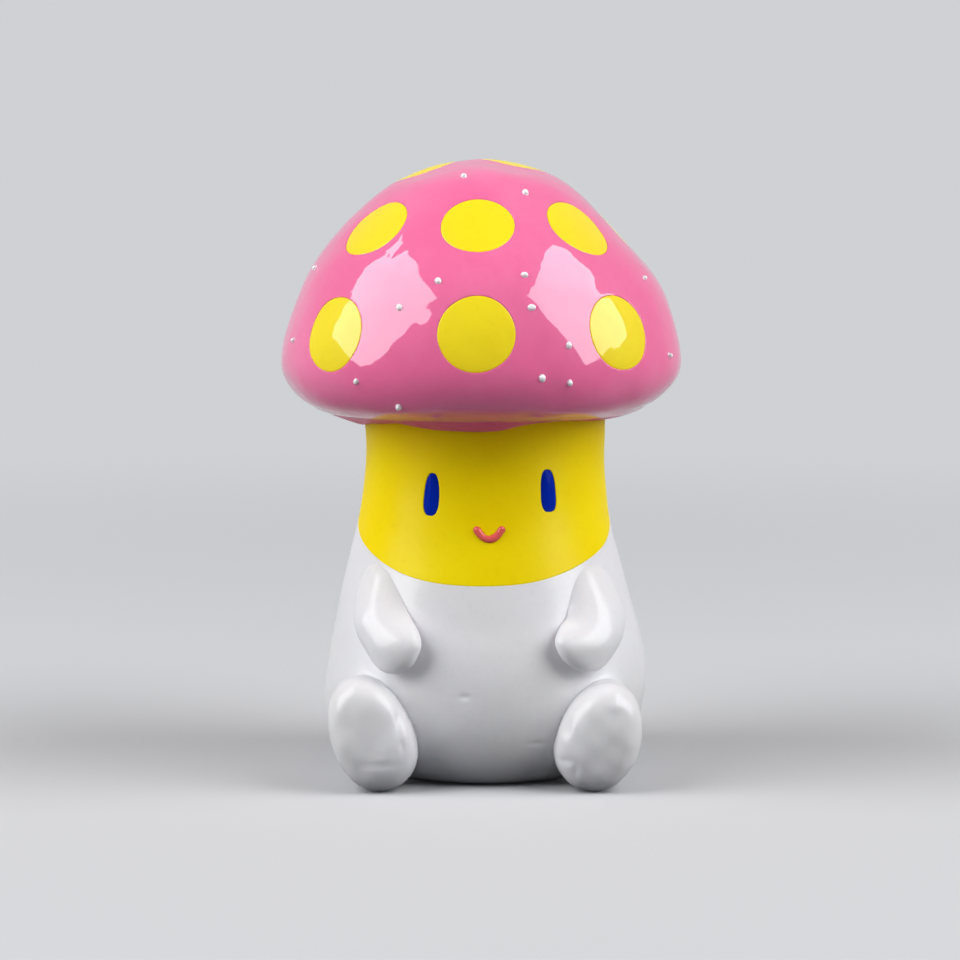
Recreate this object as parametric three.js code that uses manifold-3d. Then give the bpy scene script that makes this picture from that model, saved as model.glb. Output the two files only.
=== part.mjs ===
// Polymer clay mushroom figurine: a seated mushroom doll with a pink dotted cap.
//
// Millimetres, +Z up, front towards -Y. The origin is on the floor under the cap's axis.
// Each clay sheet, disc, bead and limb is a piece of its own, laid over two cores of crumpled
// foil that a wooden dowel pins together. Left and right are as seen from the front.

import * as THREE from 'three';
import { mergeVertices } from 'three/addons/utils/BufferGeometryUtils.js';
import Module from 'manifold-3d';

const wasm = await Module();
wasm.setup();

// Fit between pieces: every piece lies this far from its seat
const seatGap = 0.3;

// Cap: a dome with a rolled rim, closed from below by a conical underside. The rim's rise is
// from the mouth to its widest ring, the dome's from there to the top.
const capMouthHeight = 71.2;
const capRimRise = 10.2;
const capDomeRise = 39.6;
const capRadius = 40;
const capMouthRadius = 31;
const capClay = 5.2;
const capLedge = 2.5;
const undersideDrop = 2.5;
const undersideClay = 3.4;

// Stem: one outline from the base to the neck, split into a white torso and a yellow head
const neckRadius = 23.6;
const neckLength = 7.2;
const neckFlare = 0.5;
const bellyRadius = 32;
const bellyHeight = 17;
const baseRadius = 22;
const stemClay = 5;
const stemShift = 0.9;
const splitHeight = 49.9;
const splitTilt = 21;

// Cores and dowel
const crumpleDepth = 0.9;
const crumpleSpacing = 2.8;
const dowelRadius = 3;
const dowelIntoStem = 26;
const dowelIntoCap = 22;
const dowelChamfer = 0.8;

// Places on a surface are [angle, up]. Angles go round the axis from the front, in degrees. On
// the cap, up is the share of the way from the rim to the top, or to the mouth below zero.

// Large discs laid into the dome
const dotDepth = 0.9;
const dotCrown = 0.15;
const lowDotRadius = 7.4;
const highDotRadius = 7;
const topDotRadius = 6.9;
const lowDotPlaces = [
  [-1, 0.176], [43.2, 0.173], [103, 0.17], [152, 0.175], [204, 0.165], [257, 0.17], [-46, 0.163],
];
const highDotPlaces = [
  [-1, 0.682], [45, 0.667], [94, 0.645], [150, 0.655], [206, 0.66], [258, 0.65], [-48, 0.664],
];
const topDotPlaces = [[122, 0.98], [-105, 0.953]];
const pocketClearance = 2;

// Beads on the dome: the front ones first, then those round the back
const beadRadius = 0.6;
const beadCrown = 0.55;
const beadPlaces = [
  [17, -0.14], [-24, -0.675], [25, -0.235], [-36, -0.235], [-13, 0.42], [14, 0.445], [15, 0.295],
  [25, 0.115], [-24, 0.295], [-12, 0.915], [26, 0.835], [66, 0.42], [67, 0.04], [-68, 0.115],
  [-75, 0.47], [98, -0.43], [121, -0.43], [127, 0.215], [122, 0.445], [165, -0.335], [178, 0.14],
  [179, 0.445], [178, 0.8], [205, -0.53], [230, 0.04], [229, 0.37], [240, 0.77], [262, -0.43],
];

// Face: two drop-shaped eyes and a rounded V of clay thread. On the head, up is the share of
// the way from the split's middle to the neck's top.
const eyeHalfWidth = 1.65;
const eyeHalfLength = 4.1;
const eyeNarrowing = 0.22;
const eyeDepth = 0.9;
const eyeCrown = 0.15;
const eyePlaces = { left: [-25, 0.31], right: [31, 0.343] };
const mouthPlace = [2, -0.045];
const mouthHalfWidth = 2.6;
const mouthRise = 2.1;
const mouthThreadRadius = 0.6;
const mouthCrown = 0.35;

// Arms: teardrops that lean inwards towards the hand. On the torso, up is the share of the way
// from the belly's widest ring to the split's middle.
const armHalfLength = 11.2;
const armHalfWidth = 6.6;
const armHalfThickness = 3.4;
const armLift = 2.2;
const armNarrowing = 0.25;
const armThinning = 0.55;
const armLean = 35;
const armPlaces = { left: [-38.6, 0.48], right: [42.8, 0.48] };

// Feet: egg-shaped pads, soles to the front, sunk into the belly. Across is a share of its radius.
const footHalfWidth = 8;
const footHalfLength = 11.5;
const footHalfDepth = 7.6;
const footNarrowing = 0.08;
const footRoundness = 0.6;
const footSink = 5;
const footFlat = 0.5;
const footPlaces = { left: { across: -0.675, lean: 20 }, right: { across: 0.69, lean: -16 } };

// Pieces are laid on a surface from this far outside it
const drapeReach = 15;

// Facets
const capFacets = 40;
const stemFacets = 36;
const coreFacets = 20;
const dotFacets = 16;
const dowelFacets = 16;
const beadFacets = 8;
const threadFacets = 8;
const capRings = 15;
const stemRings = 16;
const samplesPerRing = 4;

const degree = Math.PI / 180;

function material(colour, roughness, metalness = 0) {
  return new THREE.MeshStandardMaterial({ color: colour, roughness, metalness });
}

const pinkClay = material(0xf0669d, 0.18);
const yellowClay = material(0xf2d400, 0.2);
const whiteClay = material(0xe9e8ea, 0.35);
const blueClay = material(0x0a2c9c, 0.2);
const salmonClay = material(0xdb5458, 0.4);
const foil = material(0xb9bcc0, 0.35, 1);
const dowelWood = material(0xc9a06b, 0.7);

// Points along a uniform cubic B-spline that starts and ends at its first and last controls.
function splinePoints(controls, count) {
  const mirror = (end, next) => [2 * end[0] - next[0], 2 * end[1] - next[1]];
  const last = controls.length - 1;
  const chain = [
    mirror(controls[0], controls[1]),
    ...controls,
    mirror(controls[last], controls[last - 1]),
  ];
  return Array.from({ length: count + 1 }, (_, i) => {
    const along = (i / count) * last;
    const start = Math.min(Math.floor(along), last - 1);
    const t = along - start;
    const weights = [
      (1 - t) ** 3 / 6,
      (3 * t ** 3 - 6 * t ** 2 + 4) / 6,
      (-3 * t ** 3 + 3 * t ** 2 + 3 * t + 1) / 6,
      t ** 3 / 6,
    ];
    const blend = (axis) => weights.reduce((sum, w, k) => sum + w * chain[start + k][axis], 0);
    return new THREE.Vector2(blend(0), blend(1));
  });
}

// The same outline moved sideways by a distance, which is outwards for a positive one where
// the outline runs upwards.
function offsetOutline(points, distance) {
  return points.map((point, i) => {
    const before = points[Math.max(i - 1, 0)];
    const after = points[Math.min(i + 1, points.length - 1)];
    const along = after.clone().sub(before).normalize();
    const moved = new THREE.Vector2(along.y, -along.x).multiplyScalar(distance).add(point);
    moved.x = Math.max(moved.x, 0);
    return moved;
  });
}

// Cap outline from the mouth round the rim and up to the apex. The rim's controls are shares of
// the way from the mouth to the rim's widest ring, the dome's are shares of the dome.
const capRimHeight = capMouthHeight + capRimRise;
const capTopHeight = capRimHeight + capDomeRise;
const rimControls = [[0, 0], [0.4, 0.08], [0.82, 0.31]];
const domeControls = [
  [1.02, -0.025], [0.9625, 0.235], [0.8875, 0.42], [0.775, 0.575], [0.55, 0.795], [0.395, 0.92],
  [0.165, 0.995], [0, 1],
];
const capControls = [
  ...rimControls.map(([out, up]) => [
    THREE.MathUtils.lerp(capMouthRadius, capRadius, out),
    THREE.MathUtils.lerp(capMouthHeight, capRimHeight, up),
  ]),
  ...domeControls.map(([out, up]) => [
    capRadius * out,
    THREE.MathUtils.lerp(capRimHeight, capTopHeight, up),
  ]),
];
const capOutline = splinePoints(capControls, capRings * samplesPerRing);

// Stem outline from the base up to the neck's top, which seats under the cap. The base's
// controls are shares of the way to the belly, the flank's of the way from belly to neck.
const neckHeight = capMouthHeight - neckLength;
const neckTop = capMouthHeight - seatGap;
const neckTopRadius = neckRadius + neckFlare;
const baseControls = [[0, 0], [0.41, 0.053], [0.87, 0.365]];
const flankControls = [
  [-0.04, -0.045], [0.07, 0.145], [0.262, 0.294], [0.464, 0.449], [0.679, 0.589], [0.869, 0.719],
  [0.952, 0.86], [1, 1],
];
const stemControls = [
  ...baseControls.map(([out, up]) => [
    THREE.MathUtils.lerp(baseRadius, bellyRadius, out),
    bellyHeight * up,
  ]),
  ...flankControls.map(([out, up]) => [
    THREE.MathUtils.lerp(bellyRadius, neckRadius, out),
    THREE.MathUtils.lerp(bellyHeight, neckHeight, up),
  ]),
  [neckTopRadius, neckTop],
];
const stemOutline = splinePoints(stemControls, stemRings * samplesPerRing);

// A surface of revolution that pieces are laid on, with its distance to any point.
class Surface {
  constructor(outline) {
    this.outline = outline;
  }

  // Distance from a point to the surface, positive outside.
  distance(point) {
    const flat = new THREE.Vector2(Math.hypot(point.x, point.y), point.z);
    let least = Infinity;
    let side = 1;
    for (let i = 1; i < this.outline.length; i += 1) {
      const start = this.outline[i - 1];
      const along = this.outline[i].clone().sub(start);
      const toPoint = flat.clone().sub(start);
      const share = THREE.MathUtils.clamp(toPoint.dot(along) / along.lengthSq(), 0, 1);
      const gap = toPoint.addScaledVector(along, -share);
      if (gap.length() < least) {
        least = gap.length();
        side = Math.sign(along.y * gap.x - along.x * gap.y) || 1;
      }
    }
    return side * least;
  }

  // The frame at an angle and height: a point on the surface, and the directions across it,
  // up along it and straight out of it.
  frameAt(angle, height) {
    const above = this.outline.findIndex((p) => p.y >= height);
    const low = this.outline[above - 1];
    const high = this.outline[above];
    const radius = THREE.MathUtils.mapLinear(height, low.y, high.y, low.x, high.x);
    const slope = high.clone().sub(low).normalize();
    const outwards = new THREE.Vector3(Math.sin(angle * degree), -Math.cos(angle * degree), 0);
    const upright = new THREE.Vector3(0, 0, 1);
    return {
      point: outwards.clone().multiplyScalar(radius).addScaledVector(upright, height),
      across: new THREE.Vector3(Math.cos(angle * degree), Math.sin(angle * degree), 0),
      along: outwards.clone().multiplyScalar(slope.x).addScaledVector(upright, slope.y),
      out: outwards.clone().multiplyScalar(slope.y).addScaledVector(upright, -slope.x),
    };
  }

  // The point that lies a given height over the surface, above a place in a frame's plane.
  // It starts well outside and walks inwards, each step as long as it is sure to be clear.
  over(frame, x, y, level) {
    const start = frame.point.clone().addScaledVector(frame.across, x);
    start.addScaledVector(frame.along, y);
    const steps = 14;
    let reach = drapeReach;
    for (let step = 0; step < steps; step += 1) {
      const here = start.clone().addScaledVector(frame.out, reach);
      reach -= this.distance(here) - level;
    }
    return start.addScaledVector(frame.out, reach);
  }
}

const dome = new Surface(capOutline);
const stem = new Surface(stemOutline);

// The frames at places on the cap, the head and the torso
function onCap([angle, up]) {
  const towards = up < 0 ? capMouthHeight : capTopHeight;
  return dome.frameAt(angle, THREE.MathUtils.lerp(capRimHeight, towards, Math.abs(up)));
}

function onHead([angle, up]) {
  return stem.frameAt(angle, THREE.MathUtils.lerp(splitHeight, neckTop, up));
}

function onTorso([angle, up]) {
  return stem.frameAt(angle, THREE.MathUtils.lerp(bellyHeight, splitHeight, up));
}

// A closed mesh of position alone, with shared corners and no slivers of zero area.
function weld(geometry) {
  const bare = geometry.clone();
  bare.deleteAttribute('normal');
  bare.deleteAttribute('uv');
  const merged = mergeVertices(bare, 1e-4);
  const corners = merged.index.array;
  const kept = [];
  for (let i = 0; i < corners.length; i += 3) {
    const [a, b, c] = [corners[i], corners[i + 1], corners[i + 2]];
    if (a !== b && b !== c && c !== a) {
      kept.push(a, b, c);
    }
  }
  merged.setIndex(kept);
  return merged;
}

// Moves each corner of a mesh to where a rule puts it.
function reshape(geometry, rule) {
  const shaped = weld(geometry);
  const position = shaped.getAttribute('position');
  const corner = new THREE.Vector3();
  for (let i = 0; i < position.count; i += 1) {
    corner.fromBufferAttribute(position, i);
    const moved = rule(corner);
    position.setXYZ(i, moved.x, moved.y, moved.z);
  }
  return shaped;
}

function toSolid(geometry) {
  const welded = weld(geometry);
  const mesh = new wasm.Mesh({
    numProp: 3,
    vertProperties: new Float32Array(welded.getAttribute('position').array),
    triVerts: new Uint32Array(welded.index.array),
  });
  return new wasm.Manifold(mesh);
}

function toGeometry(solid) {
  const mesh = solid.getMesh();
  const geometry = new THREE.BufferGeometry();
  geometry.setAttribute('position', new THREE.BufferAttribute(mesh.vertProperties, 3));
  geometry.setIndex(new THREE.BufferAttribute(mesh.triVerts, 1));
  geometry.computeVertexNormals();
  return geometry;
}

// A profile of [radius, height] points turned round the upright axis.
function turned(profile, facets) {
  return new THREE.LatheGeometry(profile, facets).rotateX(Math.PI / 2);
}

function mesh(name, geometry, finish) {
  const piece = new THREE.Mesh(geometry, finish);
  piece.name = name;
  return piece;
}

// The points of an outline that a turned piece takes as its rings.
function facetRings(outline) {
  return outline.filter((_, i) => i % samplesPerRing === 0);
}

// A round bar along the stem's axis, for the dowel's holes and the neck's socket.
function bar(radius, bottom, top, facets) {
  const profile = [[0, bottom], [radius, bottom], [radius, top], [0, top]];
  return turned(profile.map(([x, y]) => new THREE.Vector2(x, y)), facets);
}

// A disc draped over a surface: its plan is a circle stretched to an ellipse that narrows
// towards the top, its floor and its face lie at two levels over the surface.
function drapedDisc(surface, frame, plan, floor, face) {
  const profile = [[0, -1], [1, -1], [1, 1], [0.55, 1], [0, 1]];
  const disc = turned(profile.map(([x, y]) => new THREE.Vector2(x, y)), dotFacets);
  return reshape(disc, (p) => {
    const x = p.x * plan.halfWidth * (1 - plan.narrowing * p.y);
    return surface.over(frame, x, p.y * plan.halfLength, p.z > 0 ? face : floor);
  });
}

// A disc laid into a surface, and the pocket that is cut for it.
function inlay(surface, frame, plan, depth, crown) {
  const widened = {
    ...plan,
    halfWidth: plan.halfWidth + seatGap,
    halfLength: plan.halfLength + seatGap,
  };
  return {
    disc: drapedDisc(surface, frame, plan, -depth, crown),
    pocket: drapedDisc(surface, frame, widened, -depth - seatGap, pocketClearance),
  };
}

// Moves each corner of a foil core towards the axis by an uneven amount, from two sets of
// slanting waves whose crests lie a few spacings apart.
function crumple(geometry) {
  return reshape(geometry, (p) => {
    const radius = Math.hypot(p.x, p.y);
    const [x, y, z] = [p.x, p.y, p.z].map((length) => (2 * Math.PI * length) / crumpleSpacing);
    const wave = Math.sin(x + z / 2) * Math.sin(0.75 * y - 0.4 * z);
    const inwards = radius > crumpleDepth ? 1 - (crumpleDepth * Math.abs(wave)) / radius : 1;
    return new THREE.Vector3(p.x * inwards, p.y * inwards, p.z);
  });
}

// Dowel and the holes that it fits, all on the stem's axis
const coreFloor = capMouthHeight + undersideClay;
const dowelBottom = neckTop - dowelIntoStem;
const dowelTop = coreFloor + dowelIntoCap;
const dowelProfile = [
  [0, dowelBottom],
  [dowelRadius - dowelChamfer, dowelBottom],
  [dowelRadius, dowelBottom + dowelChamfer],
  [dowelRadius, dowelTop - dowelChamfer],
  [dowelRadius - dowelChamfer, dowelTop],
  [0, dowelTop],
].map(([x, y]) => new THREE.Vector2(x, y));
const dowelHole = bar(
  dowelRadius + seatGap, dowelBottom - seatGap, dowelTop + seatGap, dowelFacets,
);
const dowelHoleInCap = toSolid(dowelHole.clone().translate(stemShift, 0, 0));

// Dots, each with its pocket in the dome
function dotRow(row, radius, places) {
  const plan = { halfWidth: radius, halfLength: radius, narrowing: 0 };
  return places.map((place, i) => (
    { name: `dot_${row}_${i + 1}`, ...inlay(dome, onCap(place), plan, dotDepth, dotCrown) }
  ));
}

const dots = [
  ...dotRow('low', lowDotRadius, lowDotPlaces),
  ...dotRow('high', highDotRadius, highDotPlaces),
  ...dotRow('top', topDotRadius, topDotPlaces),
];

// Cap: up the inside of the dome and back down it, round the rim and up to the top
function buildCap() {
  const inside = facetRings(offsetOutline(capOutline, -capClay)).filter((p) => p.y > capRimHeight);
  const profile = [
    new THREE.Vector2(0, capTopHeight - capClay),
    ...inside.reverse().slice(1),
    new THREE.Vector2(capRadius - capClay, capRimHeight),
    new THREE.Vector2(capMouthRadius + capLedge, coreFloor),
    new THREE.Vector2(capMouthRadius, coreFloor),
    ...facetRings(capOutline),
  ];
  const pockets = dots.map((dot) => toSolid(dot.pocket));
  const shell = toSolid(turned(profile, capFacets));
  return pockets.reduce((solid, pocket) => solid.subtract(pocket), shell);
}

function buildCapCore() {
  const wall = capClay + seatGap;
  const inside = facetRings(offsetOutline(capOutline, -wall)).filter((p) => p.y > capRimHeight);
  const profile = [
    new THREE.Vector2(0, coreFloor + seatGap),
    new THREE.Vector2(capMouthRadius + capLedge - seatGap, coreFloor + seatGap),
    new THREE.Vector2(capRadius - wall, capRimHeight),
    ...inside.slice(0, -1),
    new THREE.Vector2(0, capTopHeight - wall),
  ];
  return toSolid(crumple(turned(profile, coreFacets))).subtract(dowelHoleInCap);
}

// Underside: a disc in the cap's mouth that slopes down to the neck, with a socket for it
function buildUnderside() {
  const foot = capMouthHeight - undersideDrop;
  const edge = capMouthRadius - seatGap;
  const profile = [
    [0, foot], [neckTopRadius, foot], [edge, capMouthHeight], [edge, coreFloor], [0, coreFloor],
  ].map(([x, y]) => new THREE.Vector2(x, y));
  const socket = bar(neckTopRadius + seatGap, foot - undersideDrop, capMouthHeight, stemFacets);
  return toSolid(turned(profile, capFacets))
    .subtract(toSolid(socket.translate(stemShift, 0, 0)))
    .subtract(dowelHoleInCap);
}

// Stem shell, open at the neck, cut along a tilted plane into torso and head
function stemProfile(wall) {
  const rings = facetRings(offsetOutline(stemOutline, -wall));
  return rings.map((p) => new THREE.Vector2(p.x, Math.min(p.y, neckTop)));
}

function buildStemShell() {
  const inside = stemProfile(stemClay).reverse();
  const floor = inside[inside.length - 1].y;
  const profile = [
    new THREE.Vector2(0, 0),
    ...stemProfile(0),
    ...inside,
    new THREE.Vector2(0, floor),
  ];
  return toSolid(turned(profile, stemFacets));
}

function buildBodyCore() {
  const inside = stemProfile(stemClay + seatGap);
  const profile = [
    new THREE.Vector2(0, inside[0].y),
    ...inside,
    new THREE.Vector2(0, neckTop),
  ];
  return toSolid(crumple(turned(profile, coreFacets))).subtract(toSolid(dowelHole));
}

// Everything above the split, less a gap: a large block with its lower face tilted
function aboveSplit(gap) {
  const size = 4 * capRadius;
  const block = new THREE.BoxGeometry(size, size, size).translate(0, 0, size / 2 + gap);
  return toSolid(block.rotateX(splitTilt * degree).translate(0, 0, splitHeight));
}

// Eyes, with their pockets in the head
const eyes = Object.entries(eyePlaces).map(([side, place]) => {
  const plan = { halfWidth: eyeHalfWidth, halfLength: eyeHalfLength, narrowing: eyeNarrowing };
  return { name: `eye_${side}`, ...inlay(stem, onHead(place), plan, eyeDepth, eyeCrown) };
});

// The mouth's thread with round ends, or the groove for it when a gap is given
function buildThread(gap) {
  const radius = mouthThreadRadius + gap;
  const curve = new THREE.CatmullRomCurve3([
    new THREE.Vector3(-mouthHalfWidth, mouthRise / 2, 0),
    new THREE.Vector3(-mouthHalfWidth / 2, -mouthRise / 4, 0),
    new THREE.Vector3(0, -mouthRise / 2, 0),
    new THREE.Vector3(mouthHalfWidth / 2, -mouthRise / 4, 0),
    new THREE.Vector3(mouthHalfWidth, mouthRise / 2, 0),
  ]);
  const corners = Array.from({ length: threadFacets }, (_, i) => {
    const turn = (i / threadFacets) * 2 * Math.PI;
    return new THREE.Vector2(radius * Math.cos(turn), radius * Math.sin(turn));
  });
  const thread = new THREE.ExtrudeGeometry(new THREE.Shape(corners), {
    steps: 10,
    extrudePath: curve,
    bevelEnabled: false,
  });
  const ends = [curve.getPoint(0), curve.getPoint(1)].map((end) => (
    toSolid(new THREE.SphereGeometry(radius, threadFacets, threadFacets - 2).translate(...end))
  ));
  const whole = toGeometry(toSolid(thread).add(ends[0]).add(ends[1]));
  const frame = onHead(mouthPlace);
  const level = mouthCrown - mouthThreadRadius;
  return reshape(whole, (p) => stem.over(frame, p.x, p.y, p.z + level));
}

// Turns a place in a limb's plan by its lean, which moves its top outwards.
function leaned(x, y, lean) {
  const turn = lean * degree;
  return [x * Math.cos(turn) - y * Math.sin(turn), x * Math.sin(turn) + y * Math.cos(turn)];
}

// Arm: a ball drawn out into a teardrop and pressed onto the torso, so that it is flat below
function buildArm(place, lean) {
  const frame = onTorso(place);
  const ball = new THREE.SphereGeometry(1, 18, 12);
  return reshape(ball, (p) => {
    const thick = 1 - armThinning * p.y;
    const level = (armLift + armHalfThickness * p.z) * thick;
    const wide = armHalfWidth * (1 - armNarrowing * p.y);
    const [x, y] = leaned(p.x * wide, p.y * armHalfLength, lean);
    return stem.over(frame, x, y, Math.max(level, seatGap));
  });
}

// Foot: an egg with a flattened sole, cut to the torso behind it and to the floor
function buildFoot(place, torsoRoom) {
  const ball = new THREE.SphereGeometry(1, 20, 14);
  const egg = reshape(ball, (p) => {
    const wide = footHalfWidth * (1 - footNarrowing * p.y);
    const [x, z] = leaned(p.x * wide, p.y * footHalfLength, place.lean);
    const forward = Math.sign(p.z) * Math.abs(p.z) ** footRoundness * footHalfDepth;
    return new THREE.Vector3(x, -forward, z);
  });
  egg.computeBoundingBox();
  const forward = bellyRadius - footSink;
  egg.translate(bellyRadius * place.across, -forward, -footFlat - egg.boundingBox.min.z);
  const size = 4 * capRadius;
  const floor = new THREE.BoxGeometry(size, size, size).translate(0, 0, -size / 2);
  return toSolid(egg).subtract(toSolid(floor)).subtract(torsoRoom);
}

// Bead: a low dome with a flat base that stands on the surface
function buildBead(place) {
  const profile = [[0, 0], [1, 0], [0.8, 0.65], [0, 1]];
  const button = turned(profile.map(([x, y]) => new THREE.Vector2(x, y)), beadFacets);
  const frame = onCap(place);
  return reshape(button, (p) => (
    dome.over(frame, p.x * beadRadius, p.y * beadRadius, seatGap + p.z * beadCrown)
  ));
}

const stemShell = buildStemShell();
const mouthGroove = toSolid(buildThread(seatGap));
const head = eyes.reduce(
  (solid, eye) => solid.subtract(toSolid(eye.pocket)),
  stemShell.intersect(aboveSplit(0)).subtract(mouthGroove),
);
const torso = stemShell.subtract(aboveSplit(-seatGap));
const torsoRoom = toSolid(turned([
  new THREE.Vector2(0, -seatGap),
  ...facetRings(offsetOutline(stemOutline, seatGap)),
  new THREE.Vector2(0, neckTop),
], stemFacets));

const stemGroup = new THREE.Group();
stemGroup.position.x = stemShift;
stemGroup.add(
  mesh('torso', toGeometry(torso), whiteClay),
  mesh('head', toGeometry(head), yellowClay),
  mesh('body_core', toGeometry(buildBodyCore()), foil),
  mesh('neck_dowel', turned(dowelProfile, dowelFacets), dowelWood),
  mesh('mouth', buildThread(0), salmonClay),
  ...eyes.map((eye) => mesh(eye.name, eye.disc, blueClay)),
  mesh('arm_left', buildArm(armPlaces.left, armLean), whiteClay),
  mesh('arm_right', buildArm(armPlaces.right, -armLean), whiteClay),
  mesh('foot_left', toGeometry(buildFoot(footPlaces.left, torsoRoom)), whiteClay),
  mesh('foot_right', toGeometry(buildFoot(footPlaces.right, torsoRoom)), whiteClay),
);

const capGroup = new THREE.Group();
capGroup.add(
  mesh('cap', toGeometry(buildCap()), pinkClay),
  mesh('cap_underside', toGeometry(buildUnderside()), pinkClay),
  mesh('cap_core', toGeometry(buildCapCore()), foil),
  ...dots.map((dot) => mesh(dot.name, dot.disc, yellowClay)),
  ...beadPlaces.map((place, i) => (
    mesh(`bead_${String(i + 1).padStart(2, '0')}`, buildBead(place), whiteClay)
  )),
);

const figurine = new THREE.Group();
figurine.add(stemGroup, capGroup);

export default figurine;
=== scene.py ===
"""Looks of a polymer clay mushroom figurine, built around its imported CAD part.

Lengths are in millimetres until they become a mesh, +Z is up and the front looks towards -Y.
Angles go round an axis from the front, in degrees, and grow towards the figurine's right-hand
side as it is seen from the front. Nearly every clay piece is laid on one of two turned forms,
the dome of the cap and the stem, which carry the low lumps that fingers leave.
"""

from __future__ import annotations

import logging
import math
from collections.abc import Callable, Sequence
from dataclasses import dataclass, field
from enum import Enum
from typing import Protocol

import bpy
import numpy as np
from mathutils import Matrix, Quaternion, Vector


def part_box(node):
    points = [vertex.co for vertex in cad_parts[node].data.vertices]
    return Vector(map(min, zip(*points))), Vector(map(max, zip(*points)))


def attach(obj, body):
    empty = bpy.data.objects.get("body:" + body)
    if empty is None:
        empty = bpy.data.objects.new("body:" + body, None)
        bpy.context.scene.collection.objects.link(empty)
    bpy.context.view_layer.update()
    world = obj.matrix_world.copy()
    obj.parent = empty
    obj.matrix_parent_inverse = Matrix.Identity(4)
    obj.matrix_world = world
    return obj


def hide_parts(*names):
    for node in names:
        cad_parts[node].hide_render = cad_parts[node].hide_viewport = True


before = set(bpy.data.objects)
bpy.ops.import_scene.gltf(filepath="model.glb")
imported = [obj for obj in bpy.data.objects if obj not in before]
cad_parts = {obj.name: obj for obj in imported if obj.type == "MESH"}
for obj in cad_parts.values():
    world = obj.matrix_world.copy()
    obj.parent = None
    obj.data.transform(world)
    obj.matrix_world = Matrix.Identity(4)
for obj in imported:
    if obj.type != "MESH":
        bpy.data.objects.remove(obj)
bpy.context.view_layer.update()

Array = np.ndarray
Colour = tuple[float, float, float]
Pair = tuple[float, float]

MM = 0.001
# Least values that divisors are held to.
TINY, SMALL = 1e-9, 1e-6
BODY = "root"

# The stem stands a little to the right of the cap's axis.
STEM_SHIFT = 0.9
# Points of an outline before and after they are spread evenly.
CURVE_POINTS, OUTLINE_POINTS = 900, 600
# Depth to which a pressed edge sinks into the surface that it joins.
SEAM_SINK = 0.12
# How the height of a smoothed band and the reach of a draped pattern are searched for.
JOIN_ROUNDS, JOIN_PACE = 10, 0.6
DRAPE_ROUNDS, DRAPE_START = 14, 3.0
SPLIT_ROUNDS = 20
# Places of a Mix node's sockets for colours.
MIX_SHARE, MIX_START, MIX_END, MIX_COLOUR = 0, 6, 7, 2

log = logging.getLogger("figurine")


class Side(Enum):
    """Which side of the figurine a piece is on, as seen from the front."""

    LEFT = "left"
    RIGHT = "right"


class Ends(Enum):
    """How the first and last rows of a skin are closed."""

    POLES = "poles"
    LOOP = "loop"


class Basis(Enum):
    """How a curve treats its controls: it is drawn towards them, or it runs through them."""

    BLENDED = ((1, -3, 3, -1), (4, 0, -6, 3), (1, 3, 3, -3), (0, 0, 0, 1))
    THROUGH = ((0, -3, 6, -3), (6, 0, -15, 9), (0, 3, 12, -9), (0, 0, -3, 3))


def lerp(start: Array | float, end: Array | float, share: Array | float) -> Array | float:
    """A value a share of the way from start to end."""
    return start + (end - start) * share


def smooth_step(share: Array) -> Array:
    """A share eased at both ends: 3t^2 - 2t^3, held between 0 and 1."""
    held = np.clip(share, 0.0, 1.0)
    return held * held * (3.0 - 2.0 * held)


def signed_power(value: Array, power: float) -> Array:
    """A power of a value's size, with the value's sign."""
    return np.sign(value) * np.abs(value) ** power


def turned(x: Array, y: Array, angle: float) -> tuple[Array, Array]:
    """Flat distances turned anticlockwise by an angle in degrees."""
    turn = math.radians(angle)
    return x * math.cos(turn) - y * math.sin(turn), x * math.sin(turn) + y * math.cos(turn)


def turns(count: int) -> Array:
    """Angles round a full turn, in radians, without the last one that meets the first."""
    return np.arange(count) / count * 2 * np.pi


def steps(count: int) -> Array:
    """Equal steps from 0 to 1 as a column, without the 0."""
    return np.linspace(0, 1, count + 1)[1:, None]


def around(radius: Array, height: Array, angle: Array) -> Array:
    """Points at a radius, a height and an angle from the front: (r sin a, -r cos a, z)."""
    grids = np.broadcast_arrays(radius * np.sin(angle), -radius * np.cos(angle), height)
    return np.stack(grids, -1)


def radius_of(points: Array) -> Array:
    """Distance of each point from the upright axis."""
    return np.hypot(points[..., 0], points[..., 1])


def curve(controls: Sequence, count: int, basis: Basis = Basis.BLENDED,
          closed: bool = False) -> Array:
    """Points along a uniform cubic curve.

    Each span blends four neighbouring controls with weights that are cubics of the share along
    it, in sixths. An open curve starts and ends at its end controls, because a control mirrored
    through each end is added.

    Args:
        controls: The controls, each a list of coordinates.
        count: How many points to give.
        basis: Whether the curve runs through its controls.
        closed: Whether it comes back to its first control.

    Returns:
        The points, one row each.
    """
    points = np.asarray(controls, float)
    if closed:
        chain = np.concatenate([points[-1:], points, points[:2]])
        spans = len(points)
        along = np.arange(count) / count * spans
    else:
        first = 2 * points[:1] - points[1:2]
        last = 2 * points[-1:] - points[-2:-1]
        chain = np.concatenate([first, points, last])
        spans = len(points) - 1
        along = np.linspace(0, spans, count)
    start = np.minimum(along.astype(int), spans - 1)
    share = (along - start)[:, None] ** np.arange(4)
    weights = share @ np.array(basis.value, float).T / 6.0
    near = np.stack([chain[start + k] for k in range(4)], 1)
    return (weights[:, :, None] * near).sum(1)


def resample(points: Array, count: int) -> Array:
    """The same line with its points at equal distances along it.

    Args:
        points: The line's points, one row each.
        count: How many points to give.

    Returns:
        The new points.
    """
    lengths = np.linalg.norm(np.diff(points, axis=0), axis=1)
    along = np.concatenate([[0.0], np.cumsum(lengths)])
    wanted = np.linspace(0, along[-1], count)
    return np.stack([np.interp(wanted, along, points[:, k]) for k in range(points.shape[1])], 1)


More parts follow.
